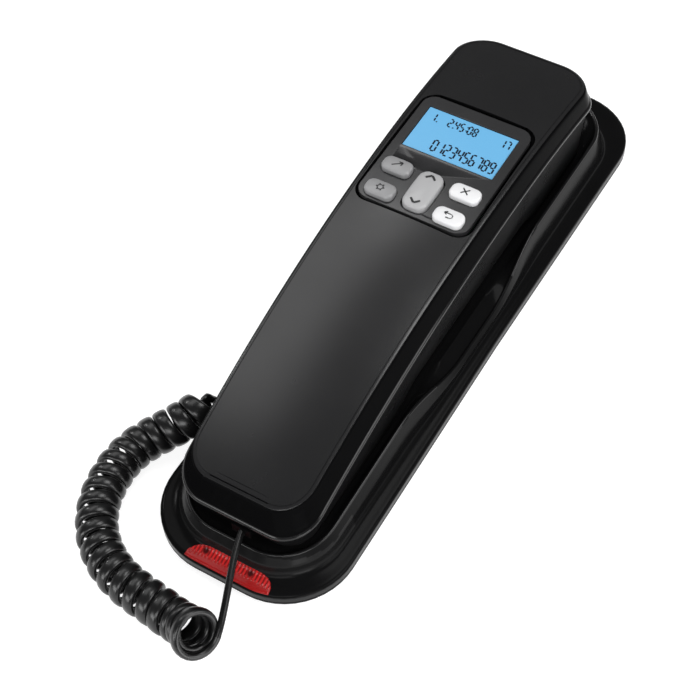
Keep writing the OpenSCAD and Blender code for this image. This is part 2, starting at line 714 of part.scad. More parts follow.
module dial_plate() color("#232326") {
    translate([0, 0, face_mid_z]) linear_extrude(hand_wall) difference() {
        translate([0, dial_plate_mid]) round_rect(dial_plate_w, dial_plate_l, dial_plate_r);
        for (i = [0:2], row = [0:dial_rows - 1])
            menu_hole(dial_x(i), dial_y(row), dial_w, dial_l, dial_r, clear);
        for (i = [0:2]) menu_hole(dial_x(i), function_y, dial_w, function_l, function_r, clear);
    }
    translate([0, dial_plate_mid, dial_flange_z]) linear_extrude(dial_mat_z - dial_flange_z) difference() {
        round_rect(dial_plate_w + 2 * dial_lip, dial_plate_l + 2 * dial_lip, dial_plate_r + dial_lip);
        round_rect(dial_plate_w - 1, dial_plate_l - 1, dial_plate_r - 0.5);
    }
    translate([0, dial_plate_mid, face_mid_z + hand_wall - eps])
        linear_extrude(touch + 2 * eps) difference() {
            round_rect(dial_plate_w, dial_plate_l, dial_plate_r);
            round_rect(dial_plate_w - 1, dial_plate_l - 1, dial_plate_r - 0.5);
        }
}

module dial_key(i, row) color("#d9d9d6")
    translate([dial_x(i), dial_y(row), dial_flange_z + key_flange_t]) mirror([0, 0, 1])
        key_cap(dial_w, dial_l, dial_r, dial_flange_z + key_flange_t - face_mid_z + dial_rise, menu_dome);

module function_key(i) color("#9b9c9f")
    translate([dial_x(i), function_y, dial_flange_z + key_flange_t]) mirror([0, 0, 1])
        key_cap(dial_w, function_l, function_r,
            dial_flange_z + key_flange_t - face_mid_z + dial_rise, menu_dome);

module dial_mat() color("#8d8f93")
    translate([0, dial_plate_mid, 0])
        round_plate(dial_plate_w + 2 * dial_lip, dial_plate_l + 2 * dial_lip, dial_plate_r,
            dial_mat_z, dial_mat_z + mat_t);

module dial_board() color("#1f6b3a")
    translate([0, dial_plate_mid, 0])
        round_plate(dial_plate_w + 2 * dial_lip, dial_plate_l + 2 * dial_lip, dial_plate_r,
            dial_mat_z + mat_t, dial_mat_z + mat_t + board_t);

// Earpiece, mouthpiece and the handset's socket

ear_hole_r = 1;
speaker_r = ear_r + 2;

module ear_grille() color("#202023") difference() {
    union() {
        rod(0, ear_y, face_end_z, face_end_z + hand_wall, ear_r);
        rod(0, ear_y, face_end_z + hand_wall + touch, face_end_z + hand_wall + 0.8, ear_r + 1.2);
        rod(0, ear_y, face_end_z + hand_wall, face_end_z + hand_wall + touch, ear_r);
    }
    rod(0, ear_y, 0, far, ear_hole_r);
    for (a = [0:60:300]) rod(4.2 * cos(a), ear_y + 4.2 * sin(a), 0, far, ear_hole_r);
    for (a = [0:30:330]) rod(7.6 * cos(a), ear_y + 7.6 * sin(a), 0, far, ear_hole_r);
}

module ear_speaker() color("#6d6f73") {
    rod(0, ear_y, face_end_z + hand_wall + 0.85, face_end_z + hand_wall + 3, speaker_r);
    rod(0, ear_y, face_end_z + hand_wall + 3, face_end_z + hand_wall + 8, speaker_r - 5);
}

module microphone() color("#b9bbbe")
    rod(0, mic_y, face_end_z + hand_wall + touch, face_end_z + hand_wall + 5, 4.8);

module handset_jack() color("#26262a")
    translate([socket_x, handset_jack_y, socket_z - socket_h / 2])
        modular_jack(handset_jack_w, socket_h + 1.4, 10.5, socket_w, socket_h, 8.5,
            socket_z - socket_h / 2 - face_end_z - hand_wall - touch);

// Cord: plug on the handset, straight lead, curls, tail and plug in the base

handset_plug_end = hand_o[1] - 0.6;
base_plug_end = -base_w / 2 + 2.2;
base_plug_z = cord_jack_floor + socket_h / 2;

// A modular plug with its nose at the origin, pointing along -Y from there; its neck is lower than its body
module modular_plug(length) {
    difference() {
        translate([-plug_w / 2, -plug_body, -plug_h / 2]) cube([plug_w, plug_body, plug_h]);
        for (i = [0:3]) translate([-1.9 + 1.02 * i, -3, plug_h / 2 - 0.6]) cube([0.5, 4, 1]);
    }
    translate([-plug_w / 2 + 0.6, -length, -plug_neck_h / 2])
        cube([plug_w - 1.2, length - plug_body + 1, plug_neck_h]);
}

module handset_plug() color("#101012")
    translate([socket_x, handset_jack_y + 8, socket_z]) modular_plug(handset_jack_y + 8 - handset_plug_end);

module base_plug() color("#101012")
    translate([cord_jack_x + 9.5, cord_jack_y, base_plug_z]) rotate([0, 0, -90])
        modular_plug(cord_jack_x + 9.5 - base_plug_end);

// Middle line of the curls, from the handset's end to the base's end
coil_route = [[6, -139, 12.2], [1.4, -136.8, 9.4], [-4, -135.1, 7.6], [-9.5, -134.2, 7],
    [-16, -133.5, 7], [-23, -132.3, 7], [-29.5, -129.9, 7], [-34.5, -126.9, 7], [-38.8, -123.2, 7],
    [-42, -119, 7], [-44.4, -114.6, 7], [-46, -109.8, 7], [-46.9, -104.8, 7], [-47.2, -99.8, 7],
    [-46.7, -95, 7], [-45.6, -90.4, 7], [-44, -86.4, 7.1], [-41.8, -82.8, 7.6], [-38.6, -79.5, 8.8],
    [-34.6, -76.9, 10.6]];
// The first curl stands a little open, where the lead leaves it, and the last one runs out into the tail
end_loop_turns = 1;
end_loop_extra = 1.5;
tail_extra = 1.5;
tail_turns = 0.7;
first_angle = 30;
coil_r = coil_od / 2 - cord_t / 2;
curl_rings = 8;
cord_sides = 6;

route_steps = [for (i = [0:len(coil_route) - 2]) norm(coil_route[i + 1] - coil_route[i])];
function run_to(i) = i == 0 ? 0 : route_steps[i - 1] + run_to(i - 1);
route_runs = [for (i = [0:len(coil_route) - 1]) run_to(i)];
route_length = route_runs[len(coil_route) - 1];
function segment_at(s, i = 0) = i >= len(coil_route) - 2 || s < route_runs[i + 1] ? i : segment_at(s, i + 1);
route_last = len(coil_route) - 1;
function route_point(i) = i < 0 ? 2 * coil_route[0] - coil_route[1]
    : i > route_last ? 2 * coil_route[route_last] - coil_route[route_last - 1] : coil_route[i];
function spline(a, b, c, d, u) =
    0.5 * (2 * b + (c - a) * u + (2 * a - 5 * b + 4 * c - d) * u * u + (3 * b - a - 3 * c + d) * u * u * u);
function route_at(s) = let (i = segment_at(s), u = (s - route_runs[i]) / route_steps[i])
    spline(route_point(i - 1), route_point(i), route_point(i + 1), route_point(i + 2), u);

curl_count = coil_turns * curl_rings + 1;
curl_span = curl_count / curl_rings;
coil_pitch = (route_length - end_loop_extra - tail_extra) / curl_span;
function run_at(turn) = coil_pitch * turn + end_loop_extra * ease(turn / end_loop_turns)
    + tail_extra * pow(max(0, turn - curl_span + tail_turns) / tail_turns, 2);
function curl_normal(turn) = let (s = run_at(turn)) unit(route_at(s + 0.5) - route_at(s - 0.5));
function curl_out(turn) = let (n = curl_normal(turn), u = unit(cross(n, [0, 0, 1])), v = cross(n, u),
    a = first_angle + 360 * turn) cos(a) * u + sin(a) * v;
function curl_point(turn) = route_at(run_at(turn)) + coil_r * curl_out(turn);
function curl_heading(turn) = unit(curl_point(turn + 0.004) - curl_point(turn - 0.004));

// A six-sided cord section at a place, with its flat side turned outwards
function cord_ring(p, heading, out) = let (side = unit(cross(heading, out)), up = cross(side, heading))
    [for (i = [0:cord_sides - 1]) let (a = 360 * i / cord_sides)
        p + cord_t / 2 * cos(a) * up + cord_w / 2 * sin(a) * side];

module tube(rings) {
    n = len(rings[0]);
    last = (len(rings) - 1) * n;
    sides = [for (k = [0:len(rings) - 2], i = [0:n - 1])
        let (a = k * n + i, b = k * n + (i + 1) % n) each [[a, b + n, b], [a, a + n, b + n]]];
    first_cap = [for (i = [1:n - 2]) [0, i, i + 1]];
    last_cap = [for (i = [1:n - 2]) [last, last + i + 1, last + i]];
    polyhedron([for (r = rings, p = r) p], concat(sides, first_cap, last_cap), convexity = 10);
}

curl_start = curl_point(0);
curl_start_heading = curl_heading(0);
curl_end = curl_point(curl_span);
curl_end_heading = curl_heading(curl_span);
curl_rings_list = concat(
    [cord_ring(curl_start - curl_start_heading * cord_w, curl_start_heading, curl_out(0))],
    [for (i = [0:curl_count]) let (t = i / curl_rings)
        cord_ring(curl_point(t), curl_heading(t), curl_out(t))],
    [cord_ring(curl_end + curl_end_heading * cord_w, curl_end_heading, curl_out(curl_span))]);

// Least gap between neighbouring curls, measured on the section points of one curl and the next
curl_gap = min([for (i = [1:curl_count + 1], j = [curl_rings - 2:curl_rings + 2])
    if (i + j <= curl_count + 1)
        min([for (p = curl_rings_list[i], q = curl_rings_list[i + j]) norm(p - q)])]);
lowest_curl = min([for (r = curl_rings_list, p = r) p[2]]);
echo(curl_gap = curl_gap, lowest_curl = lowest_curl, coil_pitch = coil_pitch);
echo(curl_start = curl_start, heading = curl_start_heading);
echo(curl_end = curl_end, end_heading = curl_end_heading);

module curly_cord() color("#0d0d0f") tube(curl_rings_list);

// Straight stretches of the cord, swept as round tubes along hand-set points
lead_sides = 8;
function heading_at(route, i) = unit(route[min(i + 1, len(route) - 1)] - route[max(i - 1, 0)]);
function lead_ring(p, heading) = let (side = unit(cross(heading, [0, 0, 1])), up = cross(side, heading))
    [for (k = [0:lead_sides - 1]) let (a = 360 * k / lead_sides)
        p + cord_t / 2 * (cos(a) * up + sin(a) * side)];
module lead(route, first_heading, last_heading) {
    tube([for (i = [0:len(route) - 1]) lead_ring(route[i],
        i == 0 ? first_heading : i == len(route) - 1 ? last_heading : heading_at(route, i))]);
}

lead_points = [[5.4, -114.2, 17.2], [7.4, -121.2, 16], [8.6, -127, 14.4]];
lead_gap = 0.3;
module handset_lead() color("#0d0d0f")
    lead(concat([[socket_x, handset_plug_end - lead_gap, socket_z],
        [socket_x, handset_plug_end - lead_gap - cord_w, socket_z]],
        lead_points,
        [curl_start - curl_start_heading * 2 * cord_w, curl_start - curl_start_heading * (cord_w + touch)]),
        [0, -1, 0], curl_start_heading);

tail_points = [[-34.6, -70.6, 4.6], [-34.2, -67.4, 5.4]];
module base_tail() color("#0d0d0f")
    lead(concat([curl_end + curl_end_heading * (cord_w + touch), curl_end + curl_end_heading * 2 * cord_w],
        tail_points,
        [[base_plug_end - cord_w, cord_jack_y, base_plug_z],
        [base_plug_end - touch, cord_jack_y, base_plug_z]]),
        curl_end_heading, [1, 0, 0]);

base_housing();
base_plate();
ring_lens();
ring_lamps();
base_board();
ringer();
hook_switch();
line_jack();
cord_jack();
rubber_feet();
base_screws();
hook_plunger();
handset_back();
handset_face();
dial_plate();
display_panel();
display_window();
display_module();
menu_mat();
display_board();
dial_mat();
dial_board();
ear_grille();
ear_speaker();
microphone();
handset_jack();
handset_screws();
menu_key(-menu_x, menu_upper_y);  // menu_key_left_upper
menu_key(-menu_x, menu_lower_y);  // menu_key_left_lower
menu_key(menu_x, menu_upper_y);  // menu_key_right_upper
menu_key(menu_x, menu_lower_y);  // menu_key_right_lower
scroll_rocker();
dial_key(0, 0);  // dial_key_1
dial_key(1, 0);  // dial_key_2
dial_key(2, 0);  // dial_key_3
dial_key(0, 1);  // dial_key_4
dial_key(1, 1);  // dial_key_5
dial_key(2, 1);  // dial_key_6
dial_key(0, 2);  // dial_key_7
dial_key(1, 2);  // dial_key_8
dial_key(2, 2);  // dial_key_9
dial_key(0, 3);  // dial_key_star
dial_key(1, 3);  // dial_key_0
dial_key(2, 3);  // dial_key_hash
function_key(0);  // function_key_left
function_key(1);  // function_key_middle
function_key(2);  // function_key_right
handset_plug();
handset_lead();
curly_cord();
base_tail();
base_plug();
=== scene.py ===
# %% [markdown]
# A slim corded telephone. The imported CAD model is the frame: it holds the sizes, the joints and the hidden
# parts. This notebook dresses it: shells with true edges, a curly cord swept along its own way, a lit
# display, soft keys, a ribbed ringer lens, and a plain white studio. Lengths are written in millimetres and
# stored in metres.

# %% Frame and sizes
import json
import math

import bmesh
import bpy
import numpy as np
from mathutils import Matrix, Vector

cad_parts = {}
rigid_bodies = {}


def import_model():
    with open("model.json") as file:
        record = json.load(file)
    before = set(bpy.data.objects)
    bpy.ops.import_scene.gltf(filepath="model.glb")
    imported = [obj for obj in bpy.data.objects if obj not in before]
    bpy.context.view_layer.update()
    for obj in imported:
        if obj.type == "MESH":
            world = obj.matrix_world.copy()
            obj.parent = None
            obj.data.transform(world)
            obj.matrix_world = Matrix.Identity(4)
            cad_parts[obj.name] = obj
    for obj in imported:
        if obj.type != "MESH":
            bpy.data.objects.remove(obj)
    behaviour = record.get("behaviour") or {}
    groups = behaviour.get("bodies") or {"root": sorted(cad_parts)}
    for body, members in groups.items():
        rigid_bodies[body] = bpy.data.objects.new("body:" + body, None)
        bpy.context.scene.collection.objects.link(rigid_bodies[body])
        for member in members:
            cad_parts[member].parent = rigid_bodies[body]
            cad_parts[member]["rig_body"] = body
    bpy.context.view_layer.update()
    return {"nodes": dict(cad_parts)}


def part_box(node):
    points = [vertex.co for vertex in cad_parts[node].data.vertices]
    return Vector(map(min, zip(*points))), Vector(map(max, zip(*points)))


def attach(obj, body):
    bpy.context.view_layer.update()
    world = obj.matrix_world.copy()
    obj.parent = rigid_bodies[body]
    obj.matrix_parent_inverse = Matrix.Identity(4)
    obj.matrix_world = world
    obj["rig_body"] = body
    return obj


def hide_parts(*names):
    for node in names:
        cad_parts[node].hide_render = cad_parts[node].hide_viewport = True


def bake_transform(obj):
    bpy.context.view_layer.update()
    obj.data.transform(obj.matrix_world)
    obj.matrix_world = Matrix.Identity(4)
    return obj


MM = 0.001
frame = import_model()
nodes = frame["nodes"]
scene = bpy.context.scene
print("CAD nodes", len(nodes))

# %% [markdown]
# The camera stands where it stood for the picture. Its angles, distance and focal length were solved from
# the corners of the display, the keys and the long edges, all seen by one pinhole camera. A Track To
# constraint could aim it, but three axes written into its matrix keep the small roll and need no helper
# object.

# %% Camera
AZIMUTH = math.radians(32.60)
ELEVATION = math.radians(53.77)
ROLL = math.radians(-2.85)
DISTANCE = 504.05
AIM = Vector((-9.82, -23.41, 0))
FOCAL_PX = 1531.02
PHOTO_PX = 700
SENSOR = 36
back = Vector((math.sin(AZIMUTH) * math.cos(ELEVATION), -math.cos(AZIMUTH) * math.cos(ELEVATION),
               math.sin(ELEVATION)))
right = Vector((math.cos(AZIMUTH), math.sin(AZIMUTH), 0))
up = back.cross(right)
cam_x = math.cos(ROLL) * right + math.sin(ROLL) * up
cam_y = -math.sin(ROLL) * right + math.cos(ROLL) * up
camera_data = bpy.data.cameras.new("photo_camera")
camera_data.sensor_width = SENSOR
camera_data.lens = SENSOR * FOCAL_PX / PHOTO_PX
camera_data.clip_start = 0.01
camera = bpy.data.objects.new("photo_camera", camera_data)
scene.collection.objects.link(camera)
eye = AIM + back * DISTANCE
for row in range(3):
    for column, axis in enumerate((cam_x, cam_y, back)):
        camera.matrix_world[row][column] = axis[row]
    camera.matrix_world[row][3] = eye[row] * MM
scene.camera = camera
print("camera at", [round(c) for c in eye], "mm, lens", round(camera_data.lens, 1))

# %% [markdown]
# Most forms below run smoothly from one size to another. `mix` goes straight from one value to the next,
# and `ease` starts and ends gently, as a drawn curve does. Curve objects could hold the same forms, but a
# formula is easier to move by a tenth of a millimetre.


# %% Small sums
def mix(a, b, u):
    return a + (b - a) * u


def ease(u):
    v = min(1.0, max(0.0, u))
    return v * v * (3 - 2 * v)


def unit(v):
    return v / np.linalg.norm(v)


print("a quarter of the way, eased:", ease(0.25))

# %% [markdown]
# A piece could start as a cube that is pulled about. A script can write the corner points itself and say
# which of them make a face. The object stays at the origin, with its place in its points, so that a pattern
# on object coordinates never slides. Faces are turned outwards, and only edges sharper than a given angle
# stay hard.


# %% Writing a mesh
def finish_mesh(mesh, smooth):
    work = bmesh.new()
    work.from_mesh(mesh)
    bmesh.ops.recalc_face_normals(work, faces=work.faces)
    work.to_mesh(mesh)
    work.free()
    mesh.polygons.foreach_set("use_smooth", [True] * len(mesh.polygons))
    mesh.set_sharp_from_angle(angle=math.radians(smooth))


def mesh_object(name, points, faces, smooth=35):
    mesh = bpy.data.meshes.new(name)
    mesh.from_pydata([tuple(c * MM for c in p) for p in points], [], faces)
    mesh.validate()
    finish_mesh(mesh, smooth)
    piece = bpy.data.objects.new(name, mesh)
    scene.collection.objects.link(piece)
    return piece


def paint(piece, *materials):
    piece.data.materials.clear()
    for material in materials:
        piece.data.materials.append(material)
    return piece


print("meshes before the first new piece", len(bpy.data.meshes))

# %% [markdown]
# A material is a net of nodes, and a net drawn by hand hides the sum behind its boxes. A small class wraps
# a socket, so that `1 - upper` adds the Math node by itself. One method adds every other node: its type,
# its settings, then what feeds its sockets, which is a plain value or another socket. The lens's ribs use
# the same pair.


# %% Reckoning with sockets
class Value:
    """A node's output that can be reckoned with: each operator adds a Math node."""

    def __init__(self, bench, socket):
        self.bench = bench
        self.socket = socket

    def math(self, operation, *terms):
        return self.bench.node("ShaderNodeMath", {"operation": operation}, dict(enumerate(terms)))

    def __sub__(self, other):
        return self.math("SUBTRACT", self, other)

    def __rsub__(self, other):
        return self.math("SUBTRACT", other, self)

    def __mul__(self, other):
        return self.math("MULTIPLY", self, other)

    def __rmul__(self, other):
        return self.math("MULTIPLY", other, self)

    def __truediv__(self, other):
        return self.math("DIVIDE", self, other)

    def __rtruediv__(self, other):
        return self.math("DIVIDE", other, self)

    def cosine(self):
        return self.math("COSINE", self)

    def larger(self, other):
        return self.math("MAXIMUM", self, other)


print("operators on sockets: - * /, with cosine and larger")

# %% [markdown]
# Nodes could be made, set and linked one line at a time. One method does all three, and sets the settings
# first, because a setting such as the data type decides which sockets a node shows. A value that comes as a
# number goes on the socket itself, and one that comes as a wrapped socket is linked.


# %% Adding a node
class Bench:
    """A node tree, with one way to add a node to it."""

    def __init__(self, tree):
        self.tree = tree

    def feed(self, socket, value):
        if isinstance(value, Value):
            self.tree.links.new(value.socket, socket)
        else:
            socket.default_value = value

    def node(self, kind, settings=None, sockets=None, out=0):
        made = self.tree.nodes.new(kind)
        for key, value in (settings or {}).items():
            setattr(made, key, value)
        for key, value in (sockets or {}).items():
            self.feed(made.inputs[key], value)
        return Value(self, made.outputs[out]) if len(made.outputs) else None


print("node groups so far", len(bpy.data.node_groups))

# %% [markdown]
# Every surface here is moulded, cast or stamped, and none is one flat colour. Each finish starts from the
# Principled shader, and noise on object coordinates clouds its roughness, tints its colour and raises a
# fine grain. Specular level is low on the darkest plastics, because the white paper around them would
# otherwise wash them grey.

# %% The finish of a surface
COAT_ROUGHNESS = 0.08
NOISE_ROUGHNESS = 0.55


class Finish(Bench):
    """A material on the Principled shader, with what this phone's surfaces need."""

    def __init__(self, name, color, roughness=0.4, metallic=0.0, coat=0.0, specular=0.5):
        self.material = bpy.data.materials.new(name)
        self.material.use_nodes = True
        super().__init__(self.material.node_tree)
        self.surface = self.tree.nodes["Principled BSDF"].inputs
        plain = {"Base Color": (*color, 1), "Roughness": roughness, "Metallic": metallic, "Coat Weight": coat,
                 "Coat Roughness": COAT_ROUGHNESS, "Specular IOR Level": specular}
        for label, value in plain.items():
            self.feed(self.surface[label], value)
        self.place = self.node("ShaderNodeTexCoord", out="Object")

    def noise(self, per_mm, detail=3.0):
        sizes = {"Vector": self.place, "Scale": per_mm / MM, "Detail": detail, "Roughness": NOISE_ROUGHNESS}
        return self.node("ShaderNodeTexNoise", sockets=sizes, out="Fac")

    def remap(self, value, low, high, start=0.3, end=0.7):
        ends = {"Value": value, "From Min": start, "From Max": end, "To Min": low, "To Max": high}
        return self.node("ShaderNodeMapRange", sockets=ends, out="Result")

    def vary_color(self, factor, first, second):
        colors = {"Factor": factor, "A": (*first, 1), "B": (*second, 1)}
        mixed = self.node("ShaderNodeMix", {"data_type": "RGBA"}, colors, "Result")
        self.feed(self.surface["Base Color"], mixed)

    def vary_roughness(self, value, low, high):
        self.feed(self.surface["Roughness"], self.remap(value, low, high))

    def bump(self, height, strength, deep):
        relief = {"Strength": strength, "Distance": deep * MM, "Height": height}
        self.feed(self.surface["Normal"], self.node("ShaderNodeBump", sockets=relief, out="Normal"))


print("a finish starts with coat roughness", COAT_ROUGHNESS)

# %% [markdown]
# The phone has a dozen blacks: satin on the handset's back, gloss on its bevel, a softer one on the base, a
# duller one on the hidden face. One shared black would be less work, but then the edges between the
# mouldings disappear. So one helper takes colour, roughness and grain, and each moulding has its own.

# %% Plastics and metals
CLOUD_PER_MM = 0.05
TINT_PER_MM = 0.12
GRAIN_DEEP = 0.05


def plastic(name, color, roughness, grain=0.0, grain_per_mm=3.0, spread=0.05, specular=0.5):
    finish = Finish(name, color, roughness, specular=specular)
    finish.vary_roughness(finish.noise(CLOUD_PER_MM, 4), max(0.02, roughness - spread), roughness + spread)
    lighter = tuple(min(1, c * 1.12 + 0.0005) for c in color)
    finish.vary_color(finish.noise(TINT_PER_MM, 2), color, lighter)
    if grain > 0:
        finish.bump(finish.noise(grain_per_mm, 2), grain, GRAIN_DEEP)
    return finish.material


satin_black = plastic("satin_black", (0.010, 0.010, 0.0105), 0.26, 0.04, 5.0, spread=0.02)
gloss_black = plastic("gloss_black", (0.003, 0.003, 0.0032), 0.13, spread=0.02, specular=0.004)
lip_black = plastic("lip_black", (0.006, 0.006, 0.0062), 0.16, spread=0.03, specular=0.3)
base_black = plastic("base_black", (0.005, 0.005, 0.0052), 0.17, 0.02, 4.0, spread=0.03, specular=0.035)
edge_black = plastic("edge_black", (0.008, 0.008, 0.0082), 0.22, spread=0.03, specular=0.1)
face_black = plastic("face_black", (0.005, 0.005, 0.0052), 0.30, 0.05, 4.0, specular=0.03)
plate_black = plastic("plate_black", (0.010, 0.010, 0.0105), 0.42, 0.15, 3.0, specular=0.4)
panel_gloss = plastic("panel_gloss", (0.026, 0.026, 0.027), 0.16, spread=0.03)
inner_black = plastic("inner_black", (0.006, 0.006, 0.0062), 0.5, 0.1, specular=0.05)
cord_black = plastic("cord_black", (0.005, 0.005, 0.0052), 0.28, 0.01, 2.5, spread=0.02)
lead_black = plastic("lead_black", (0.005, 0.005, 0.0052), 0.24, 0.05, 2.5, specular=0.22)
rubber_dark = plastic("rubber_dark", (0.03, 0.03, 0.031), 0.7, 0.3, 2.0)
mat_grey = plastic("mat_grey", (0.35, 0.35, 0.36), 0.6, 0.2)
board_green = plastic("board_green", (0.02, 0.12, 0.045), 0.4, 0.1, 1.0)
brass = Finish("brass", (0.72, 0.55, 0.24), 0.3, metallic=1.0)
brass.vary_roughness(brass.noise(0.4), 0.22, 0.4)
steel = Finish("steel", (0.6, 0.6, 0.61), 0.32, metallic=1.0)
steel.vary_roughness(steel.noise(0.8), 0.25, 0.42)
print("satin_black has", len(satin_black.node_tree.nodes), "nodes")

# %% [markdown]
# The cord leaves the handset as a straight lead, turns over into its first curl, lies on the table as a
# coil in a wide bow, and ends in the socket on the base's left side. A Screw modifier gives even turns
# round a straight axis. This coil bends, loosens and tips over, so each point is worked out from the turn
# that it lies in. First comes the coil's middle line, a smooth spline through points that were laid along
# the curls in the picture.

# %% The coil's middle line
COIL_ROUTE = np.array([
    (9.0, -137.9, 13.9), (4.4, -136.7, 10.7), (0.1, -135.6, 8.2), (-4.6, -135.0, 7.3), (-9.5, -134.2, 7),
    (-16, -133.5, 7), (-23, -132.3, 7), (-29.5, -129.9, 7), (-34.5, -126.9, 7), (-38.8, -123.2, 7),
    (-42, -119, 7), (-44.4, -114.6, 7), (-46, -109.8, 7), (-46.9, -104.8, 7), (-47.2, -99.8, 7),
    (-46.7, -95, 7), (-45.4, -90.6, 7.1), (-43.2, -86.6, 7.7), (-40.6, -83.0, 8.7), (-37.9, -79.4, 10.0),
    (-35.8, -76.4, 11.0), (-34.4, -73.4, 11.7), (-33.7, -70.4, 11.8)])


def knots_of(points):
    """How far along the line each of its points lies."""
    return np.concatenate([[0], np.cumsum(np.linalg.norm(np.diff(points, axis=0), axis=1))])


def spline_at(points, knots, s):
    i = int(np.clip(np.searchsorted(knots, s, side="right") - 1, 0, len(points) - 2))
    u = (s - knots[i]) / (knots[i + 1] - knots[i])
    b = points[i]
    c = points[i + 1]
    a = points[i - 1] if i > 0 else 2 * b - c
    d = points[i + 2] if i + 2 < len(points) else 2 * c - b
    square = (2 * a - 5 * b + 4 * c - d) * u ** 2
    cube = (3 * b - a - 3 * c + d) * u ** 3
    return 0.5 * (2 * b + (c - a) * u + square + cube)


route_knots = knots_of(COIL_ROUTE)
print("middle line", round(float(route_knots[-1]), 1), "mm")

# %% [markdown]
# A curl is a circle that moves on along the middle line. On the real cord the first turn hangs open where
# the lead pulls at it, the next turns lie close, and the last one draws in towards the tail. So the axis,
# the pace and the radius each change near an end and stay even between.

# %% Pace of the curls
TURNS = 23.3
HELD_FIRST = 0.45
HELD_NEXT = 0.5
HELD_TURNS = 4
LAST_RUN = 1.0
LAST_TURNS = 0.7
PITCH = (route_knots[-1] - LAST_RUN) / (TURNS - HELD_FIRST - HELD_NEXT)


def run_at(turn):
    held = HELD_FIRST * ease(turn) + HELD_NEXT * ease(turn / HELD_TURNS)
    return PITCH * (turn - held) + LAST_RUN * (max(0.0, turn - TURNS + LAST_TURNS) / LAST_TURNS) ** 2


print("pitch", round(float(PITCH), 2), "mm over", TURNS, "turns")

# %% [markdown]
# Each point turns round the middle line at the coil's radius. The axis starts tipped over, as the first
# curl lies in the picture, and soon follows the line. A path constraint could carry a circle along, but it
# would keep the circle's radius and its upright, which both change here.


# %% One point of a curl
COIL_R = 5.5
FIRST_ANGLE = 46
OPEN_AXIS = np.array((-0.8, 0.24, -0.55))
OPEN_AXIS_TURNS = 1.8
OPEN_TURNS = 0.95
OPEN_R = 2.2
DRAW_IN = 0.8
DRAW_TURNS = 0.6


def curl(turn):
    s = run_at(turn)
    along = unit(spline_at(COIL_ROUTE, route_knots, s + 0.5) - spline_at(COIL_ROUTE, route_knots, s - 0.5))
    along = unit(mix(OPEN_AXIS, along, ease(turn / OPEN_AXIS_TURNS)))
    u = unit(np.cross(along, (0, 0, 1)))
    v = np.cross(along, u)
    a = math.radians(FIRST_ANGLE + 360 * turn)
    out = math.cos(a) * u + math.sin(a) * v
    radius = COIL_R * (1 - DRAW_IN * ease((turn - TURNS + DRAW_TURNS) / DRAW_TURNS))
    if turn < OPEN_TURNS:
        radius += OPEN_R * math.sin(math.pi * max(turn, 0.0) / OPEN_TURNS) ** 2
    return spline_at(COIL_ROUTE, route_knots, s) + radius * out, out


def heading_at(turn):
    return unit(curl(turn + 0.004)[0] - curl(turn - 0.004)[0])


print("first point of the coil", [round(float(c), 1) for c in curl(0)[0]])

# %% [markdown]
# The lead and the tail are free stretches. The lead is one Bezier curve that leaves the plug straight and
# meets the first curl in its own direction. The tail is a spline down the base's side into the other plug.
# Both reach a little inside their plugs, so that no light shows between.

# %% Lead, coil and tail on one line
LEAD_START = np.array((2.8, -105.9, 18.6))
LEAD_LEAVES = np.array((2.0, -9.6, -1.2))
LEAD_REACH = 8
LEAD_STEPS = 34
TAIL_STEP = 1.2
TAIL_SPACING = 0.8
TAIL = np.array([(-34.6, -67.6, 10.2), (-34.3, -66.2, 8.0), (-32.4, -66, 6.6), (-29.3, -66, 6.47)])
PER_TURN = 30
coil_turns = np.linspace(0, TURNS, int(TURNS * PER_TURN) + 1)
coil_points = np.array([curl(t)[0] for t in coil_turns])
coil_outs = np.array([curl(t)[1] for t in coil_turns])


def bezier(a, b, c, d, u):
    return (1 - u) ** 3 * a + 3 * u * (1 - u) ** 2 * b + 3 * u * u * (1 - u) * c + u ** 3 * d


def smooth_run(points, spacing):
    knots = knots_of(points)
    count = max(2, int(knots[-1] / spacing))
    return np.array([spline_at(points, knots, s) for s in np.linspace(0, knots[-1] - 1e-6, count)])


lead_meets = coil_points[0] - heading_at(0) * LEAD_REACH
lead_ends = (LEAD_START, LEAD_START + LEAD_LEAVES, lead_meets, coil_points[0])
lead_line = np.array([bezier(*lead_ends, u) for u in np.linspace(0, 1, LEAD_STEPS)[:-1]])
tail_first = coil_points[-1] + TAIL_STEP * heading_at(TURNS - 0.005)
tail_line = smooth_run(np.vstack([coil_points[-1:], tail_first, TAIL]), TAIL_SPACING)[1:]
cord_line = np.vstack([lead_line, coil_points, tail_line])

# %% [markdown]
# The jacket is flat: wide along the coil and thin across it. A tube of even width would leave white gaps
# where the turns stand apart, and would cut into itself where they crowd. So each point measures the way to
# the next turn, and the jacket is as wide as that allows. Its direction is carried along the free stretches
# from the curls.

# %% The jacket's direction
def carried(line, out, reverse=False):
    """Section directions along a free stretch, carried on from where it meets the curls."""
    order = range(len(line) - 1, -1, -1) if reverse else range(len(line))
    outs = {}
    for i in order:
        along = unit(line[min(i + 1, len(line) - 1)] - line[max(i - 1, 0)])
        out = unit(out - along * np.dot(out, along))
        outs[i] = out
    return np.array([outs[i] for i in range(len(line))])


lead_outs = carried(lead_line, coil_outs[0], True)
cord_outs = np.vstack([lead_outs, coil_outs, carried(tail_line, coil_outs[-1])])
print("sections along the cord", len(cord_outs))

# %% [markdown]
# At both ends the real turns are pressed together and hide the table between them, so the jacket may be
# wider there. Between, it keeps one width. The lead and the tail are thinner, and a running mean over nine
# sections takes out the steps where one stretch meets the next.

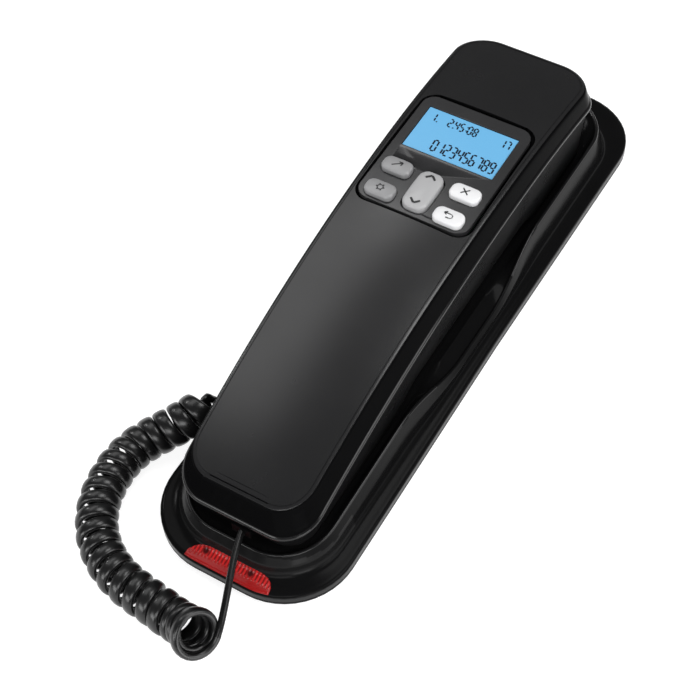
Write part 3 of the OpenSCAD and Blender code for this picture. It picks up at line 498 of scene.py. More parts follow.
# %% The jacket's width
CORD_T = 2.2
CORD_W = 3.9
END_W = 6.0
END_TURNS = 4
END_FADE = 2
TURN_GAP = 0.15
LEAD_W = 2.1
LEAD_T = 2.0
TAIL_W = 2.6
FAR_APART = 9.0
first = len(lead_line)
last = first + len(coil_points)
gap_to_next = np.full(len(cord_line), FAR_APART)
caps = np.full(len(cord_line), CORD_W)
for i, turn in enumerate(coil_turns):
    for j in (i - PER_TURN, i + PER_TURN):
        if 0 <= j < len(coil_points):
            reach = np.linalg.norm(coil_points[i] - coil_points[j])
            gap_to_next[first + i] = min(gap_to_next[first + i], reach)
    to_end = min(turn, TURNS - turn)
    caps[first + i] = mix(CORD_W, END_W, 1 - ease((to_end - END_TURNS) / END_FADE))
widths = np.minimum(caps, gap_to_next - TURN_GAP)
widths[:first] = np.minimum(widths[:first], LEAD_W)
widths[last:] = np.minimum(widths[last:], TAIL_W)
widths = np.convolve(np.pad(widths, 4, mode="edge"), np.ones(9) / 9, mode="valid")
thicks = np.full(len(widths), CORD_T)
thicks[:first] = LEAD_T
print("jacket from", round(float(widths.min()), 2), "to", round(float(widths.max()), 2), "mm wide")

# %% [markdown]
# One closed tube is swept along the line. A curve with a bevel object would do for a round cord, but it can't
# change the section's width and turn it to the coil's axis. The section is a rounded flat, not an ellipse,
# because a moulded jacket has fuller corners.

# %% Sweeping the cord
SIDES = 14
FULLNESS = 0.8
cord_points = []
for i, p in enumerate(cord_line):
    along = unit(cord_line[min(i + 1, len(cord_line) - 1)] - cord_line[max(i - 1, 0)])
    out = unit(cord_outs[i] - along * np.dot(cord_outs[i], along))
    side = np.cross(along, out)
    for k in range(SIDES):
        c = math.cos(2 * math.pi * k / SIDES)
        s = math.sin(2 * math.pi * k / SIDES)
        flat = math.copysign(abs(c) ** FULLNESS, c) * thicks[i] / 2
        wide = math.copysign(abs(s) ** FULLNESS, s) * widths[i] / 2
        cord_points.append(tuple(p + flat * out + wide * side))
cord_faces = []
for i in range(len(cord_line) - 1):
    for k in range(SIDES):
        a = i * SIDES + k
        b = i * SIDES + (k + 1) % SIDES
        cord_faces.append((a, b, b + SIDES, a + SIDES))
cord_faces.append(tuple(range(SIDES - 1, -1, -1)))
cord_faces.append(tuple(range((len(cord_line) - 1) * SIDES, len(cord_line) * SIDES)))
cord = mesh_object("phone_cord", cord_points, cord_faces, 60)
paint(cord, cord_black, lead_black)
for index in range(first * SIDES):
    cord.data.polygons[index].material_index = 1
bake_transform(cord)
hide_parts("handset_lead", "curly_cord", "base_tail")
print("cord faces", len(cord.data.polygons))

# %% [markdown]
# Handset and base share one kind of outline: a long rectangle with round corners, a little narrower at the
# near end. A shell is a stack of such outlines, each at its own inset and height, skinned like the ribs of
# a boat. Subdivision from a box would be quicker, but it can't hold a lip of 2 mm and a bevel of 8 mm
# beside each other as crisply.

# %% Outlines
LEAST_R = 0.8


def inset(o, d):
    return (o[0] - d, o[1] + d, o[2] - d, max(o[3] - d, LEAST_R))


def between(a, b, u):
    return tuple(mix(p, q, u) for p, q in zip(a, b))


def inside(o, x, y):
    """How far a point lies inside a rounded outline."""
    hw, y0, y1, r = o
    qx = abs(x) - (hw - r)
    qy = abs(y - (y0 + y1) / 2) - ((y1 - y0) / 2 - r)
    return r - math.hypot(max(qx, 0.0), max(qy, 0.0)) - min(max(qx, qy), 0.0)


print("an outline inset by 1 mm", inset((24, -100, 90, 12), 1))

# %% [markdown]
# An outline becomes a ring of points: the right half is worked out and mirrored, so both sides are always
# alike. A ring is narrowed towards the near end, may bow out at the finger scallops, and asks a formula for
# the height of each point.


# %% Rings of points
TAPER = 0.0005
CORNER_STEPS = 12
SIDE_STEPS = 44


def half_outline(o):
    hw, y0, y1, r = o
    points = []
    for i in range(CORNER_STEPS + 1):
        a = math.radians(-90 + 90 * i / CORNER_STEPS)
        points.append((hw - r + r * math.cos(a), y0 + r + r * math.sin(a)))
    for i in range(1, SIDE_STEPS):
        points.append((hw, mix(y0 + r, y1 - r, i / SIDE_STEPS)))
    for i in range(CORNER_STEPS + 1):
        a = math.radians(90 * i / CORNER_STEPS)
        points.append((hw - r + r * math.cos(a), y1 - r + r * math.sin(a)))
    return points


def ring(o, z, narrow=TAPER, bow=0.0, near=None):
    rights = []
    for x, y in half_outline(o):
        slope = near if near is not None and y < 0 else narrow
        wide = x * (1 + slope * y) + bow * scallop_share(y)
        rights.append((wide, y, z(x, y)))
    return rights + [(-x, y, h) for x, y, h in reversed(rights)]


print("points in an outline", 2 * (2 * CORNER_STEPS + SIDE_STEPS + 1))

# %% [markdown]
# The skin joins each outline to the next with four-sided faces. A flat end is closed by strips that run
# straight across, and the handset's crowned back gets a grid of points of its own, so that it curves both
# ways.

# %% Skinning the outlines
COLUMNS = 12


def crossing_rows(points, start, n, top):
    """Rows of points across an outline, on the surface that top gives."""
    rows = []
    for j in range(n // 2):
        r = start + j
        l = start + n - 1 - j
        row = [r]
        for k in range(1, COLUMNS):
            x = mix(points[r][0], points[l][0], k / COLUMNS)
            row.append(len(points))
            points.append((x, points[r][1], top(x, points[r][1])))
        rows.append(row + [l])
    return rows


def loft(name, rings, smooth=35, first_cap=False, last_cap=True, top=None):
    n = len(rings[0])
    last = (len(rings) - 1) * n
    points = [p for r in rings for p in r]
    faces = []
    for k in range(len(rings) - 1):
        for i in range(n):
            a = k * n + i
            b = k * n + (i + 1) % n
            faces.append((a, b, b + n, a + n))
    for wanted, start in ((first_cap, 0), (last_cap, last)):
        for j in range(n // 2 - 1 if wanted else 0):
            faces.append((start + j, start + j + 1, start + n - 2 - j, start + n - 1 - j))
    if top:
        rows = crossing_rows(points, last, n, top)
        for a, b in zip(rows[:-1], rows[1:]):
            faces += [(a[k], b[k], b[k + 1], a[k + 1]) for k in range(COLUMNS)]
    return mesh_object(name, points, faces, smooth)


print("columns across a crowned back", COLUMNS)

# %% [markdown]
# Windows, sockets and holes are cut with plain prisms by exact booleans, as a milling cutter would. The
# result is copied into a plain mesh at once, and the cutters are removed, so nothing live is left on a
# piece.


# %% Cutters
def round_rect(w, l, r, corner=8):
    points = []
    for sx, sy, a0 in ((1, -1, -90), (1, 1, 0), (-1, 1, 90), (-1, -1, 180)):
        for i in range(corner + 1):
            a = math.radians(a0 + 90 * i / corner)
            points.append((sx * (w / 2 - r) + r * math.cos(a), sy * (l / 2 - r) + r * math.sin(a)))
    return points


def circle(r, count=48):
    angles = [2 * math.pi * i / count for i in range(count)]
    return [(r * math.cos(a), r * math.sin(a)) for a in angles]


def cutter(outline, z0, z1, at=(0, 0)):
    n = len(outline)
    points = [(x + at[0], y + at[1], z0) for x, y in outline]
    points += [(x + at[0], y + at[1], z1) for x, y in outline]
    faces = [tuple(range(n - 1, -1, -1)), tuple(range(n, 2 * n))]
    faces += [(i, (i + 1) % n, (i + 1) % n + n, i + n) for i in range(n)]
    return mesh_object("cut", points, faces)


def box_cutter(x0, x1, y0, y1, z0, z1):
    return cutter([(x0, y0), (x1, y0), (x1, y1), (x0, y1)], z0, z1)


print("corners of a round cutter", len(circle(1)))

# %% [markdown]
# The cut itself is one Boolean modifier for each cutter. Applying it with an operator depends on what is
# selected, so the evaluated mesh is taken instead. Normals and hard edges are worked out again afterwards.


# %% Carving a piece
def carve(piece, cutters, smooth=35):
    for tool in cutters:
        modifier = piece.modifiers.new("cut", "BOOLEAN")
        modifier.object = tool
        modifier.operation = "DIFFERENCE"
        modifier.solver = "EXACT"
    bpy.context.view_layer.update()
    evaluated = piece.evaluated_get(bpy.context.evaluated_depsgraph_get())
    mesh = bpy.data.meshes.new_from_object(evaluated)
    piece.modifiers.clear()
    piece.data = mesh
    for tool in cutters:
        bpy.data.objects.remove(tool)
    finish_mesh(mesh, smooth)
    return piece


# %% [markdown]
# Seen from the side, the handset's back is an arch that falls more towards the near end. Its face is level
# in the middle, where the dial plate sits, and drops at both ends to the earpiece and the mouthpiece. The
# base's rim follows it from below and dips into a finger scallop on each side. These lines come first,
# since both shells share them.

# %% Lines along the phone
HAND = (24.4, -105.8, 88.6, 12.0)
BACK = (22.4, -103.0, 85.2, 11.5)
SEAM = inset(HAND, 0.8)
FACE = inset(SEAM, 4.4)
NARROW = 0.00095
CROWN = 1.1
PEAK_Y = 25
PEAK_Z = 51.2
NEAR_FALL = 19.9
NEAR_POWER = 2.14
FAR_FALL = 5.5


def back_z(y):
    if y < PEAK_Y:
        return PEAK_Z - NEAR_FALL * ((PEAK_Y - y) / (PEAK_Y - BACK[1])) ** NEAR_POWER
    return PEAK_Z - FAR_FALL * ((y - PEAK_Y) / (BACK[2] - PEAK_Y)) ** 2


def crowned(x, y):
    return back_z(y) + CROWN * (1 - (x / BACK[0]) ** 2)


heights = [round(back_z(y), 1) for y in (BACK[1], PEAK_Y, BACK[2])]
print("back's height at the near end, peak and far end", heights)

# %% [markdown]
# The lip runs below the back at one distance, and the seam below the lip. The face needs two levels and a
# ramp between them, which one eased share gives. Straight ramps would show a crease across the shell.


# %% Lip, seam and face
BEVEL_H = 7.9
LIP_H = 1.8
FACE_MID = 18.5
FACE_END = 12.8
LEVEL_Y0 = -33.7
LEVEL_Y1 = 33.85
RAMP = 18


def lip_z(y):
    return back_z(y) - BEVEL_H


def seam_z(y):
    return lip_z(y) - LIP_H - 0.05


def end_share(y):
    return ease((LEVEL_Y0 - y) / RAMP) if y < 0 else ease((y - LEVEL_Y1) / RAMP)


def face_z(y):
    return mix(FACE_MID, FACE_END, end_share(y))


print("seam over face in the middle", round(seam_z(0) - face_z(0), 1), "mm")

# %% [markdown]
# The base's pocket follows the handset's face, a little below it. Its rim runs level along the far half,
# falls towards the near end, and dips in the middle for the fingers. A drawn curve could give the dip, but
# two eased shares multiplied give the same line and can be asked for its height anywhere.

# %% Lines along the base
FLOOR_MID = 13.2
FLOOR_END = 12.4
RIM_HIGH = 19.2
RIM_FALL = 5.6
RIM_FALL_Y = -21
RIM_FALL_RUN = 87
SCALLOP_Z = 11.8
SCALLOP_NEAR = -50.5
SCALLOP_NEAR_RUN = 34
SCALLOP_FAR = 41
SCALLOP_FAR_RUN = 38


def floor_z(y):
    return mix(FLOOR_MID, FLOOR_END, end_share(y))


def scallop_share(y):
    return ease((y - SCALLOP_NEAR) / SCALLOP_NEAR_RUN) * ease((SCALLOP_FAR - y) / SCALLOP_FAR_RUN)


def rim_z(y):
    line = RIM_HIGH - RIM_FALL * min(1.0, max(0.0, (RIM_FALL_Y - y) / RIM_FALL_RUN))
    return mix(line, SCALLOP_Z, scallop_share(y))


print("rim's height near, in the scallop and far", [round(rim_z(y), 1) for y in (-105, 0, 90)])

# %% [markdown]
# The handset's back is one moulding with three surfaces: a satin back inside a fine groove, a glossy black
# bevel, and a rounded lip. Three objects would show seams that the real one doesn't have, so it is one
# skin, and each face takes its finish from where it lies. The panel's window is cut last, with a shallow
# step round it.

# %% Handset back
LIP_PROFILE = ((0.9, -1.8), (0.42, -1.7), (0.12, -1.42), (0.0, -1.05), (0.0, -0.6), (0.08, -0.28),
               (0.32, -0.04), (0.62, 0.14))
LIP_IN, LIP_UP = LIP_PROFILE[-1]
BEVEL_SHARES = (0.25, 0.45, 0.65, 0.82)
EDGE_DROP = 1.0
BACK_EDGE = ((0.0, -EDGE_DROP), (0.1, -0.66), (0.3, -0.33), (0.62, -0.1), (1.0, 0.0), (1.5, 0.0),
             (1.58, -0.22), (1.86, -0.22), (1.94, 0.0), (3.2, 0.0))
PANEL_W = 38.6
PANEL_L = 49.2
PANEL_AT = (0, 22.4)
STEP_AT = (0, 22.9)
STEP_Z = 49.7
ABOVE = 60
back_rings = [ring(inset(BACK, 2.4), lambda x, y: back_z(y) - 3.2, NARROW),
              ring(inset(HAND, 2.2), lambda x, y: lip_z(y) - LIP_H)]
for d, h in LIP_PROFILE:
    back_rings.append(ring(inset(HAND, d), lambda x, y, h=h: lip_z(y) + h))
for u in BEVEL_SHARES:
    outline = between(inset(HAND, LIP_IN), BACK, u)
    back_rings.append(ring(outline, lambda x, y, u=u: mix(lip_z(y) + LIP_UP, crowned(x, y) - EDGE_DROP, u),
                           mix(TAPER, NARROW, u)))
for d, h in BACK_EDGE:
    back_rings.append(ring(inset(BACK, d), lambda x, y, h=h: crowned(x, y) + h, NARROW))
handset_back = loft("handset_back_look", back_rings, first_cap=True, last_cap=False,
                    top=lambda x, y: crowned(x / (1 + NARROW * y), y))
window = cutter(round_rect(PANEL_W + 0.7, PANEL_L + 0.7, 4.8), 40, ABOVE, PANEL_AT)
step = cutter(round_rect(PANEL_W + 2.4, PANEL_L + 2.8, 5.6), STEP_Z, ABOVE, STEP_AT)
carve(handset_back, [window, step])
print("handset back", len(handset_back.data.polygons), "faces")

# %% [markdown]
# Which face takes which finish follows from its place: satin lies close under the crowned surface and
# inside the groove, the lip lies at or below the lip's line, and all the rest is the glossy bevel.

# %% Handset back's three finishes
SATIN_DEEP = 0.45
SATIN_IN = 0.8
paint(handset_back, satin_black, gloss_black, lip_black)
for face in handset_back.data.polygons:
    x, y, z = (c / MM for c in face.center)
    over = crowned(x, y) - z
    if over < SATIN_DEEP and inside(BACK, x / (1 + NARROW * y), y) > SATIN_IN:
        face.material_index = 0
    else:
        face.material_index = 2 if z < lip_z(y) + 0.05 and over < 12 else 1
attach(handset_back, "handset")
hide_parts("handset_back")
print("satin faces", sum(face.material_index == 0 for face in handset_back.data.polygons))

# %% [markdown]
# The face shell lies below the lip and is mostly hidden while the handset rests. It is skinned the same
# way, from the level of the face up to the seam and back down inside, so that it has a wall. Openings for
# the dial plate, the earpiece, the plug and the sound holes are cut, as well as the small microphone port
# in the near end.

# %% Handset face
FACE_EDGE = ((6.0, 0.0), (0.6, 0.0), (0.0, 0.02), (-0.8, 0.2), (-1.4, 0.5), (-2.1, 1.2), (-2.6, 2.2))
face_rings = [ring(inset(FACE, d), lambda x, y, h=h: face_z(y) + h) for d, h in FACE_EDGE]
for u in (0.3, 0.5, 0.7):
    face_rings.append(ring(inset(FACE, mix(-2.6, -3.4, (u - 0.2) / 0.5)),
                           lambda x, y, u=u: mix(face_z(y), seam_z(y), u)))
face_rings.append(ring(inset(FACE, -4.1), lambda x, y: mix(face_z(y), seam_z(y), 0.9)))
face_rings.append(ring(SEAM, lambda x, y: seam_z(y)))
face_rings.append(ring(inset(SEAM, 2), lambda x, y: seam_z(y)))
face_rings.append(ring(inset(SEAM, 3), lambda x, y: mix(face_z(y), seam_z(y), 0.5)))
face_rings.append(ring(inset(FACE, 0.3), lambda x, y: face_z(y) + 2))
handset_face = loft("handset_face_look", face_rings, first_cap=True)
print("handset face", len(handset_face.data.polygons), "faces")

# %% [markdown]
# On the real handset the dial plate, the earpiece and the plug sit in openings of this shell. Their sizes are
# read from the CAD nodes where possible, so that the openings keep fitting when a size changes. The port's
# inside is painted pale grey as a painted highlight, for the two bright specks at its sides.

# %% Openings in the handset face
DIAL_W = 34.6
EAR_R = 10.7
PLUG_X = 2.8
PLUG_HALF = 3.95
HOLE_R = 0.9
HOLES_X = (-2.5, 0, 2.5)
HOLES_Y = -80
PORT_X = -3.2
PORT_Y = -97
PORT_Z = 17.6
(_, ear_y0, _), (_, ear_y1, _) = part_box("ear_grille")
(_, dial_y0, _), (_, dial_y1, _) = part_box("dial_plate")
ear_y = (ear_y0 + ear_y1) / 2 / MM
dial_mid = (dial_y0 + dial_y1) / 2 / MM
cuts = [cutter(round_rect(DIAL_W + 0.5, (dial_y1 - dial_y0) / MM - 2.0 + 0.5, 4.2), 0, 20.6, (0, dial_mid)),
        cutter(circle(EAR_R), 0, 15.05, (0, ear_y)),
        box_cutter(PLUG_X - PLUG_HALF, PLUG_X + PLUG_HALF, -120, -99.1, 15.5, 21.7)]
cuts += [cutter(circle(HOLE_R, 16), 0, 16, (x, HOLES_Y)) for x in HOLES_X]
port = cutter(circle(HOLE_R, 16), 0, 12)
port_place = Matrix.Translation((PORT_X * MM, PORT_Y * MM, PORT_Z * MM))
port.data.transform(port_place @ Matrix.Rotation(math.pi / 2, 4, "X"))
carve(handset_face, cuts + [port])
paint(handset_face, face_black, mat_grey)
# The port's inner wall takes the pale grey: a painted highlight in the port.
for face in handset_face.data.polygons:
    x, y, z = (c / MM for c in face.center)
    if y < PORT_Y and math.hypot(x - PORT_X, z - PORT_Z) < 1.0 and abs(face.normal.y) < 0.5:
        face.material_index = 1
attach(handset_face, "handset")
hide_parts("handset_face")
print("openings cut", len(cuts) + 1)

# %% [markdown]
# The cradle base sweeps up from a flat flange into a leaning wall, ends in a thin rim, and goes down again
# inside as the pocket. The wall's section is a short spline of share, height and bow: share 0 is the
# flange's edge and 1 the rim. A lathe can't make it, because the outline isn't round, so it is skinned from
# outlines as the handset is.

# %% The base's section
FLANGE = (32.1, -116.25, 116.25, 23.0)
RIM_IN = (SEAM[0] + 1.1, SEAM[1] - 1.8, SEAM[2] + 11.0, 17.0)
RIM_OUT = inset(RIM_IN, -1.2)
FLOOR = inset(FACE, -1.8)
BOW = 2.2
EDGE_Z = 2.3
WALL_TOP = 0.81
WALL_TOP_Z = 10.2
WALL_BOW = 0.8
WALL_STEPS = 26
WALL = np.array([(0, EDGE_Z, 0), (0, 4.4, 0), (0.04, 5.0, 0), (0.12, 5.4, 0), (0.42, 5.8, 0),
                 (0.64, 6.5, 0.15), (0.75, 7.9, 0.5), (WALL_TOP, WALL_TOP_Z, WALL_BOW)])
wall_knots = knots_of(WALL * np.array([7, 1, 0]))
UNDERSIDE = ((1.02, 9.4), (0.92, 8.0), (0.7, 4.6), (0.25, 3.2), (0.25, EDGE_Z))
RIM_SHARES = (0.15, 0.3, 0.45, 0.6, 0.75, 0.88)
RIM_PROFILE = ((0.0, -0.5), (0.08, -0.25), (0.28, -0.06), (0.55, 0.0), (0.85, -0.05), (1.08, -0.2),
               (1.2, -0.45))
print("wall's section", round(float(wall_knots[-1]), 1), "long in", WALL_STEPS - 1, "steps")

# %% [markdown]
# The rings go once round the section: in under the pocket's floor, down the inner skin, out to the flange's
# edge, up the wall, over the rim and down into the pocket. A closed section gives the housing a true wall,
# where a single sheet would show its empty inside from below.

# %% Base housing
base_rings = [ring(inset(FLOOR, 6), lambda x, y: floor_z(y) - 2), ring(FLOOR, lambda x, y: floor_z(y) - 2)]
for t, h in UNDERSIDE:
    base_rings.append(ring(between(FLANGE, RIM_OUT, t), lambda x, y, h=h: h, near=TAPER * t))
base_rings.append(ring(FLANGE, lambda x, y: EDGE_Z, near=0.0))
for s in np.linspace(0, wall_knots[-1] - 1e-6, WALL_STEPS)[1:]:
    t, h, b = spline_at(WALL, wall_knots, s)
    t = max(t, 0)
    base_rings.append(ring(between(FLANGE, RIM_OUT, t), lambda x, y, h=h: h, bow=BOW * max(b, 0),
                           near=TAPER * t))
for u in RIM_SHARES:
    t = mix(WALL_TOP, 1, u)
    base_rings.append(ring(between(FLANGE, RIM_OUT, t), lambda x, y, u=u: mix(WALL_TOP_Z, rim_z(y) - 0.5, u),
                           bow=BOW * mix(WALL_BOW, 1, u), near=TAPER * t))
for d, h in RIM_PROFILE:
    base_rings.append(ring(inset(RIM_OUT, d), lambda x, y, h=h: rim_z(y) + h, bow=BOW))
for u in (0.25, 0.5, 0.75, 1.0):
    base_rings.append(ring(between(RIM_IN, inset(FLOOR, -1.8), u),
                           lambda x, y, u=u: mix(rim_z(y) - 0.5, floor_z(y) + 0.5, u), bow=BOW * (1 - u)))
base_rings.append(ring(inset(FLOOR, -0.6), lambda x, y: floor_z(y) + 0.12))
base_rings.append(ring(inset(FLOOR, 0.4), lambda x, y: floor_z(y)))
base_rings.append(ring(inset(FLOOR, 6), lambda x, y: floor_z(y)))
base_housing = loft("base_housing_look", base_rings, 40, first_cap=True)
print("base housing", len(base_housing.data.polygons), "faces")

# %% [markdown]
# Two sockets open through the flange, one for the line at the far end and one for the cord on the left, and
# the hook plunger comes up through the pocket's floor. Its hole is wider below, where the plunger's flange
# rises with it. Lofting round the openings would break the even rings, so they are cut like the handset's.

# %% Openings of the base
PLUNGER_AT = (0, -76)
PLUNGER_R = 4.25
PLUNGER_FLANGE_R = 5.9
PLUNGER_FLANGE = 1.1
PLUNGER_RISE = 2.2
PLUNGER_SPARE = 0.7
LINE_SOCKET = (-7, 7, 102.8, 125, 0, 10.6)
CORD_SOCKET = (-60, -26.8, -72, -60, 0, 10.6)


def socket_cutters():
    return [box_cutter(*LINE_SOCKET), box_cutter(*CORD_SOCKET)]


flange_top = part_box("hook_plunger")[0][2] / MM + PLUNGER_FLANGE + PLUNGER_RISE + PLUNGER_SPARE
carve(base_housing, socket_cutters() + [cutter(circle(PLUNGER_R), 5, 20, PLUNGER_AT),
                                        cutter(circle(PLUNGER_FLANGE_R), 5, flange_top, PLUNGER_AT)], 40)
print("base openings cut, plunger's room up to", round(flange_top, 2), "mm")

# %% [markdown]
# The rim and the flange's edge catch more light than the wall on the real base, and so does the wall behind
# the lens. Painting them by hand would be lost with the next change of shape, so each face is asked where
# it lies and which way it looks.

# %% Finishes of the base
EDGE_BELOW = 5.0
STEEP = 0.5
RIM_CLOSE = 0.42
RIM_WITHIN = 30
RIM_UP = 0.25
NEAR_WALL_Y = -84
NEAR_WALL_Z = 6.8
paint(base_housing, base_black, lip_black, edge_black)
for face in base_housing.data.polygons:
    x, y, z = (c / MM for c in face.center)
    edge = z < EDGE_BELOW and abs(face.normal.z) < STEEP
    rim = abs(z - rim_z(y)) < RIM_CLOSE and abs(x) < RIM_WITHIN and face.normal.z > RIM_UP
    rim = rim and z > floor_z(y) + 1
    near_wall = y < NEAR_WALL_Y and NEAR_WALL_Z < z < rim_z(y) - 0.4 and inside(RIM_OUT, x, y) < 0.1
    face.material_index = 2 if edge or near_wall else 1 if rim else 0
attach(base_housing, "base")
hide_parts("base_housing")
print("rim faces", sum(face.material_index == 1 for face in base_housing.data.polygons))

# %% [markdown]
# Below the flange the bottom plate shows as a thin dark band with a shadow line above it. A ring of small
# rounded section, cut where the sockets are, gives that line from every side without touching the plate
# itself.

# %% Bottom plate's band
BAND_PROFILE = ((0.3, 2.0), (0.08, 1.92), (0.0, 1.7), (0.0, 1.2), (0.12, 0.95), (0.4, 0.85), (2.0, 0.85))
band = [ring(inset(FLANGE, 2), lambda x, y: 2.0, near=0.0)]
for d, h in BAND_PROFILE:
    band.append(ring(inset(FLANGE, d), lambda x, y, h=h: h, near=0.0))
plate_band = loft("base_plate_band", band + band[:1], 40, last_cap=False)
carve(plate_band, socket_cutters(), 40)
paint(plate_band, edge_black)
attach(plate_band, "base")
print("band", len(plate_band.data.polygons), "faces")

# %% [markdown]
# Many parts already have their right shape in the CAD model, only with knife-sharp edges. No moulded edge
# is that sharp, and a sharp one catches no light. A copy of the node gets its triangles merged and its
# edges bevelled, and stands for the node. Parts that stay inside keep their CAD shape and only get a
# finish.

# %% Softened CAD nodes
SHARP = math.radians(40)
SOFTENED = (("base_plate", 0.3, plate_black), ("rubber_feet", 0.3, rubber_dark),
            ("hook_plunger", 0.4, face_black), ("dial_plate", 0.25, plate_black),
            ("ear_grille", 0.2, face_black), ("line_jack", 0.2, inner_black),
            ("cord_jack", 0.2, inner_black), ("handset_jack", 0.2, inner_black))


def softened(node, width, segments=2):
    """A copy of a CAD node with its sharp edges rounded, which stands for the node."""
    source = nodes[node]
    work = bmesh.new()
    work.from_mesh(source.data)
    bmesh.ops.remove_doubles(work, verts=work.verts, dist=1e-6)
    bmesh.ops.dissolve_limit(work, angle_limit=math.radians(1), verts=work.verts, edges=work.edges)
    edges = [e for e in work.edges if len(e.link_faces) == 2 and e.calc_face_angle(0) > SHARP]
    bmesh.ops.bevel(work, geom=edges, offset=width * MM, segments=segments, affect="EDGES",
                    clamp_overlap=True)
    mesh = bpy.data.meshes.new(node + "_look")
    work.to_mesh(mesh)
    work.free()
    finish_mesh(mesh, 35)
    piece = bpy.data.objects.new(node + "_look", mesh)
    scene.collection.objects.link(piece)
    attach(piece, source["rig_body"])
    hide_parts(node)
    return piece


for node, width, finish in SOFTENED:
    paint(softened(node, width), finish)
print("softened", len(SOFTENED))

# %% [markdown]
# Boards, mats, screws and plugs are hidden or tiny, and their CAD shape is right. They only need a finish
# that is true to their kind: green boards, grey rubber, steel and brass. The dial keys are softened like
# the rest.

# %% CAD nodes that keep their shape
lamp_clear = plastic("lamp_clear", (0.6, 0.4, 0.38), 0.15)
KEPT = ((gloss_black, ("handset_plug", "base_plug")),
        (steel.material, ("base_screws", "handset_screws", "microphone")),
        (board_green, ("base_board", "display_board", "dial_board")),
        (mat_grey, ("menu_mat", "dial_mat")),
        (inner_black, ("hook_switch", "ear_speaker", "display_module")),
        (brass.material, ("ringer",)),
        (lamp_clear, ("ring_lamps",)))
for finish, names in KEPT:
    for name in names:
        paint(nodes[name], finish)
dial_light = plastic("dial_light", (0.5, 0.5, 0.49), 0.4, 0.1)
function_grey = plastic("function_grey", (0.2, 0.2, 0.21), 0.4, 0.1)
for name in list(nodes):
    if name.startswith("dial_key"):
        paint(softened(name, 0.35, 3), dial_light)
    if name.startswith("function_key"):
        paint(softened(name, 0.35, 3), function_grey)
print("kept nodes", sum(len(names) for _, names in KEPT))

# %% [markdown]
# The display sits in a glossy dark panel behind a pale blue window. A lit display could be a lamp, but it
# shines so little in a bright studio that a plain blue with a soft cloud in it reads the same, and it bakes
# well.

# %% Display panel and window
paint(softened("display_panel", 0.3, 3), panel_gloss)
lcd = Finish("lcd_blue", (0.155, 0.48, 0.80), 0.22)
lcd.vary_color(lcd.noise(0.03, 2), (0.15, 0.47, 0.79), (0.165, 0.50, 0.82))
paint(softened("display_window", 0.1), lcd.material)

# %% [markdown]
# The menu keys are soft silver pillows: their sides bow out a little, their edges roll over and their tops
# are domed. A bevelled box would have straight sides and a flat top. So the outline is bowed first, then
# stacked in rings that roll in over the edge and close on the dome.

# %% Outline of a key
EDGE_STEP = 0.6
STRAIGHT = 0.05


def bowed_outline(w, l, r, bow_x, bow_y):
    def wide(y):
        return 1 + bow_x * (1 - (2 * y / l) ** 2)

    def long(x):
        return 1 + bow_y * (1 - (2 * x / w) ** 2)

    outline = [(x * wide(y), y * long(x)) for x, y in round_rect(w, l, r, 10)]
    fine = []
    for p, q in zip(outline, outline[1:] + outline[:1]):
        fine.append(p)
        count = int(math.dist(p, q) / EDGE_STEP)
        for k in range(1, count):
            x = mix(p[0], q[0], k / count)
            y = mix(p[1], q[1], k / count)
            if abs(p[0] - q[0]) < STRAIGHT:
                x = math.copysign(w / 2 * wide(y), x)
            if abs(p[1] - q[1]) < STRAIGHT:
                y = math.copysign(l / 2 * long(x), y)
            fine.append((x, y))
    return fine


print("a key's outline has", len(bowed_outline(9.8, 5.8, 2.0, 0.03, 0.05)), "points")

# %% [markdown]
# The rings follow: a straight foot, a rolled edge in five steps and a dome in three. Subdivision would
# round the key as well, but it would also shrink it, and a key has to fill its opening.


# %% Stacking a key
ROLL_IN = ((0.0, 0.85), (0.05, 0.55), (0.2, 0.28), (0.45, 0.12), (0.8, 0.04))
DOME_SHARES = (0.7, 0.4, 0.15)


def pillow(name, w, l, r, bow_x, bow_y, z0, z1, at, dome=0.25):
    fine = bowed_outline(w, l, r, bow_x, bow_y)
    levels = [(1, 1, z0)]
    for d, below in ROLL_IN:
        levels.append((1 - 2 * d / w, 1 - 2 * d / l, z1 - below))
    rolled = ROLL_IN[-1][0]
    for share in DOME_SHARES:
        lift = dome * (1 - share ** 2) - ROLL_IN[-1][1]
        levels.append(((1 - 2 * rolled / w) * share, (1 - 2 * rolled / l) * share, z1 + lift))
    points = [(at[0] + x * kx, at[1] + y * ky, z) for kx, ky, z in levels for x, y in fine]
    n = len(fine)
    faces = []
    for k in range(len(levels) - 1):
        for i in range(n):
            a = k * n + i
            b = k * n + (i + 1) % n
            faces.append((a, b, b + n, a + n))
    faces.append(tuple(range((len(levels) - 1) * n, len(levels) * n)))
    return mesh_object(name, points, faces, 50)


print("rings in a key", 1 + len(ROLL_IN) + len(DOME_SHARES))

# %% [markdown]
# The left keys show greyer than the right ones, and the rocker lies between. Light alone would have to fall
# off very fast for that, so the three groups have lit and shaded copies of one silver paint: painted shade on
# the left keys, a half-lit grey on the rocker and a painted highlight on the right keys, each with a faint
# coat and a fine bump.

# %% Menu keys and rocker
KEY_FOOT = 48.8
KEY_TOP = 53.8
KEY_EDGE = KEY_TOP - 0.2


def key_finish(name, color):
    finish = Finish(name, color, 0.36, coat=0.15)
    finish.vary_roughness(finish.noise(0.3), 0.3, 0.42)
    finish.bump(finish.noise(6.0, 2), 0.06, 0.03)
    return finish.material
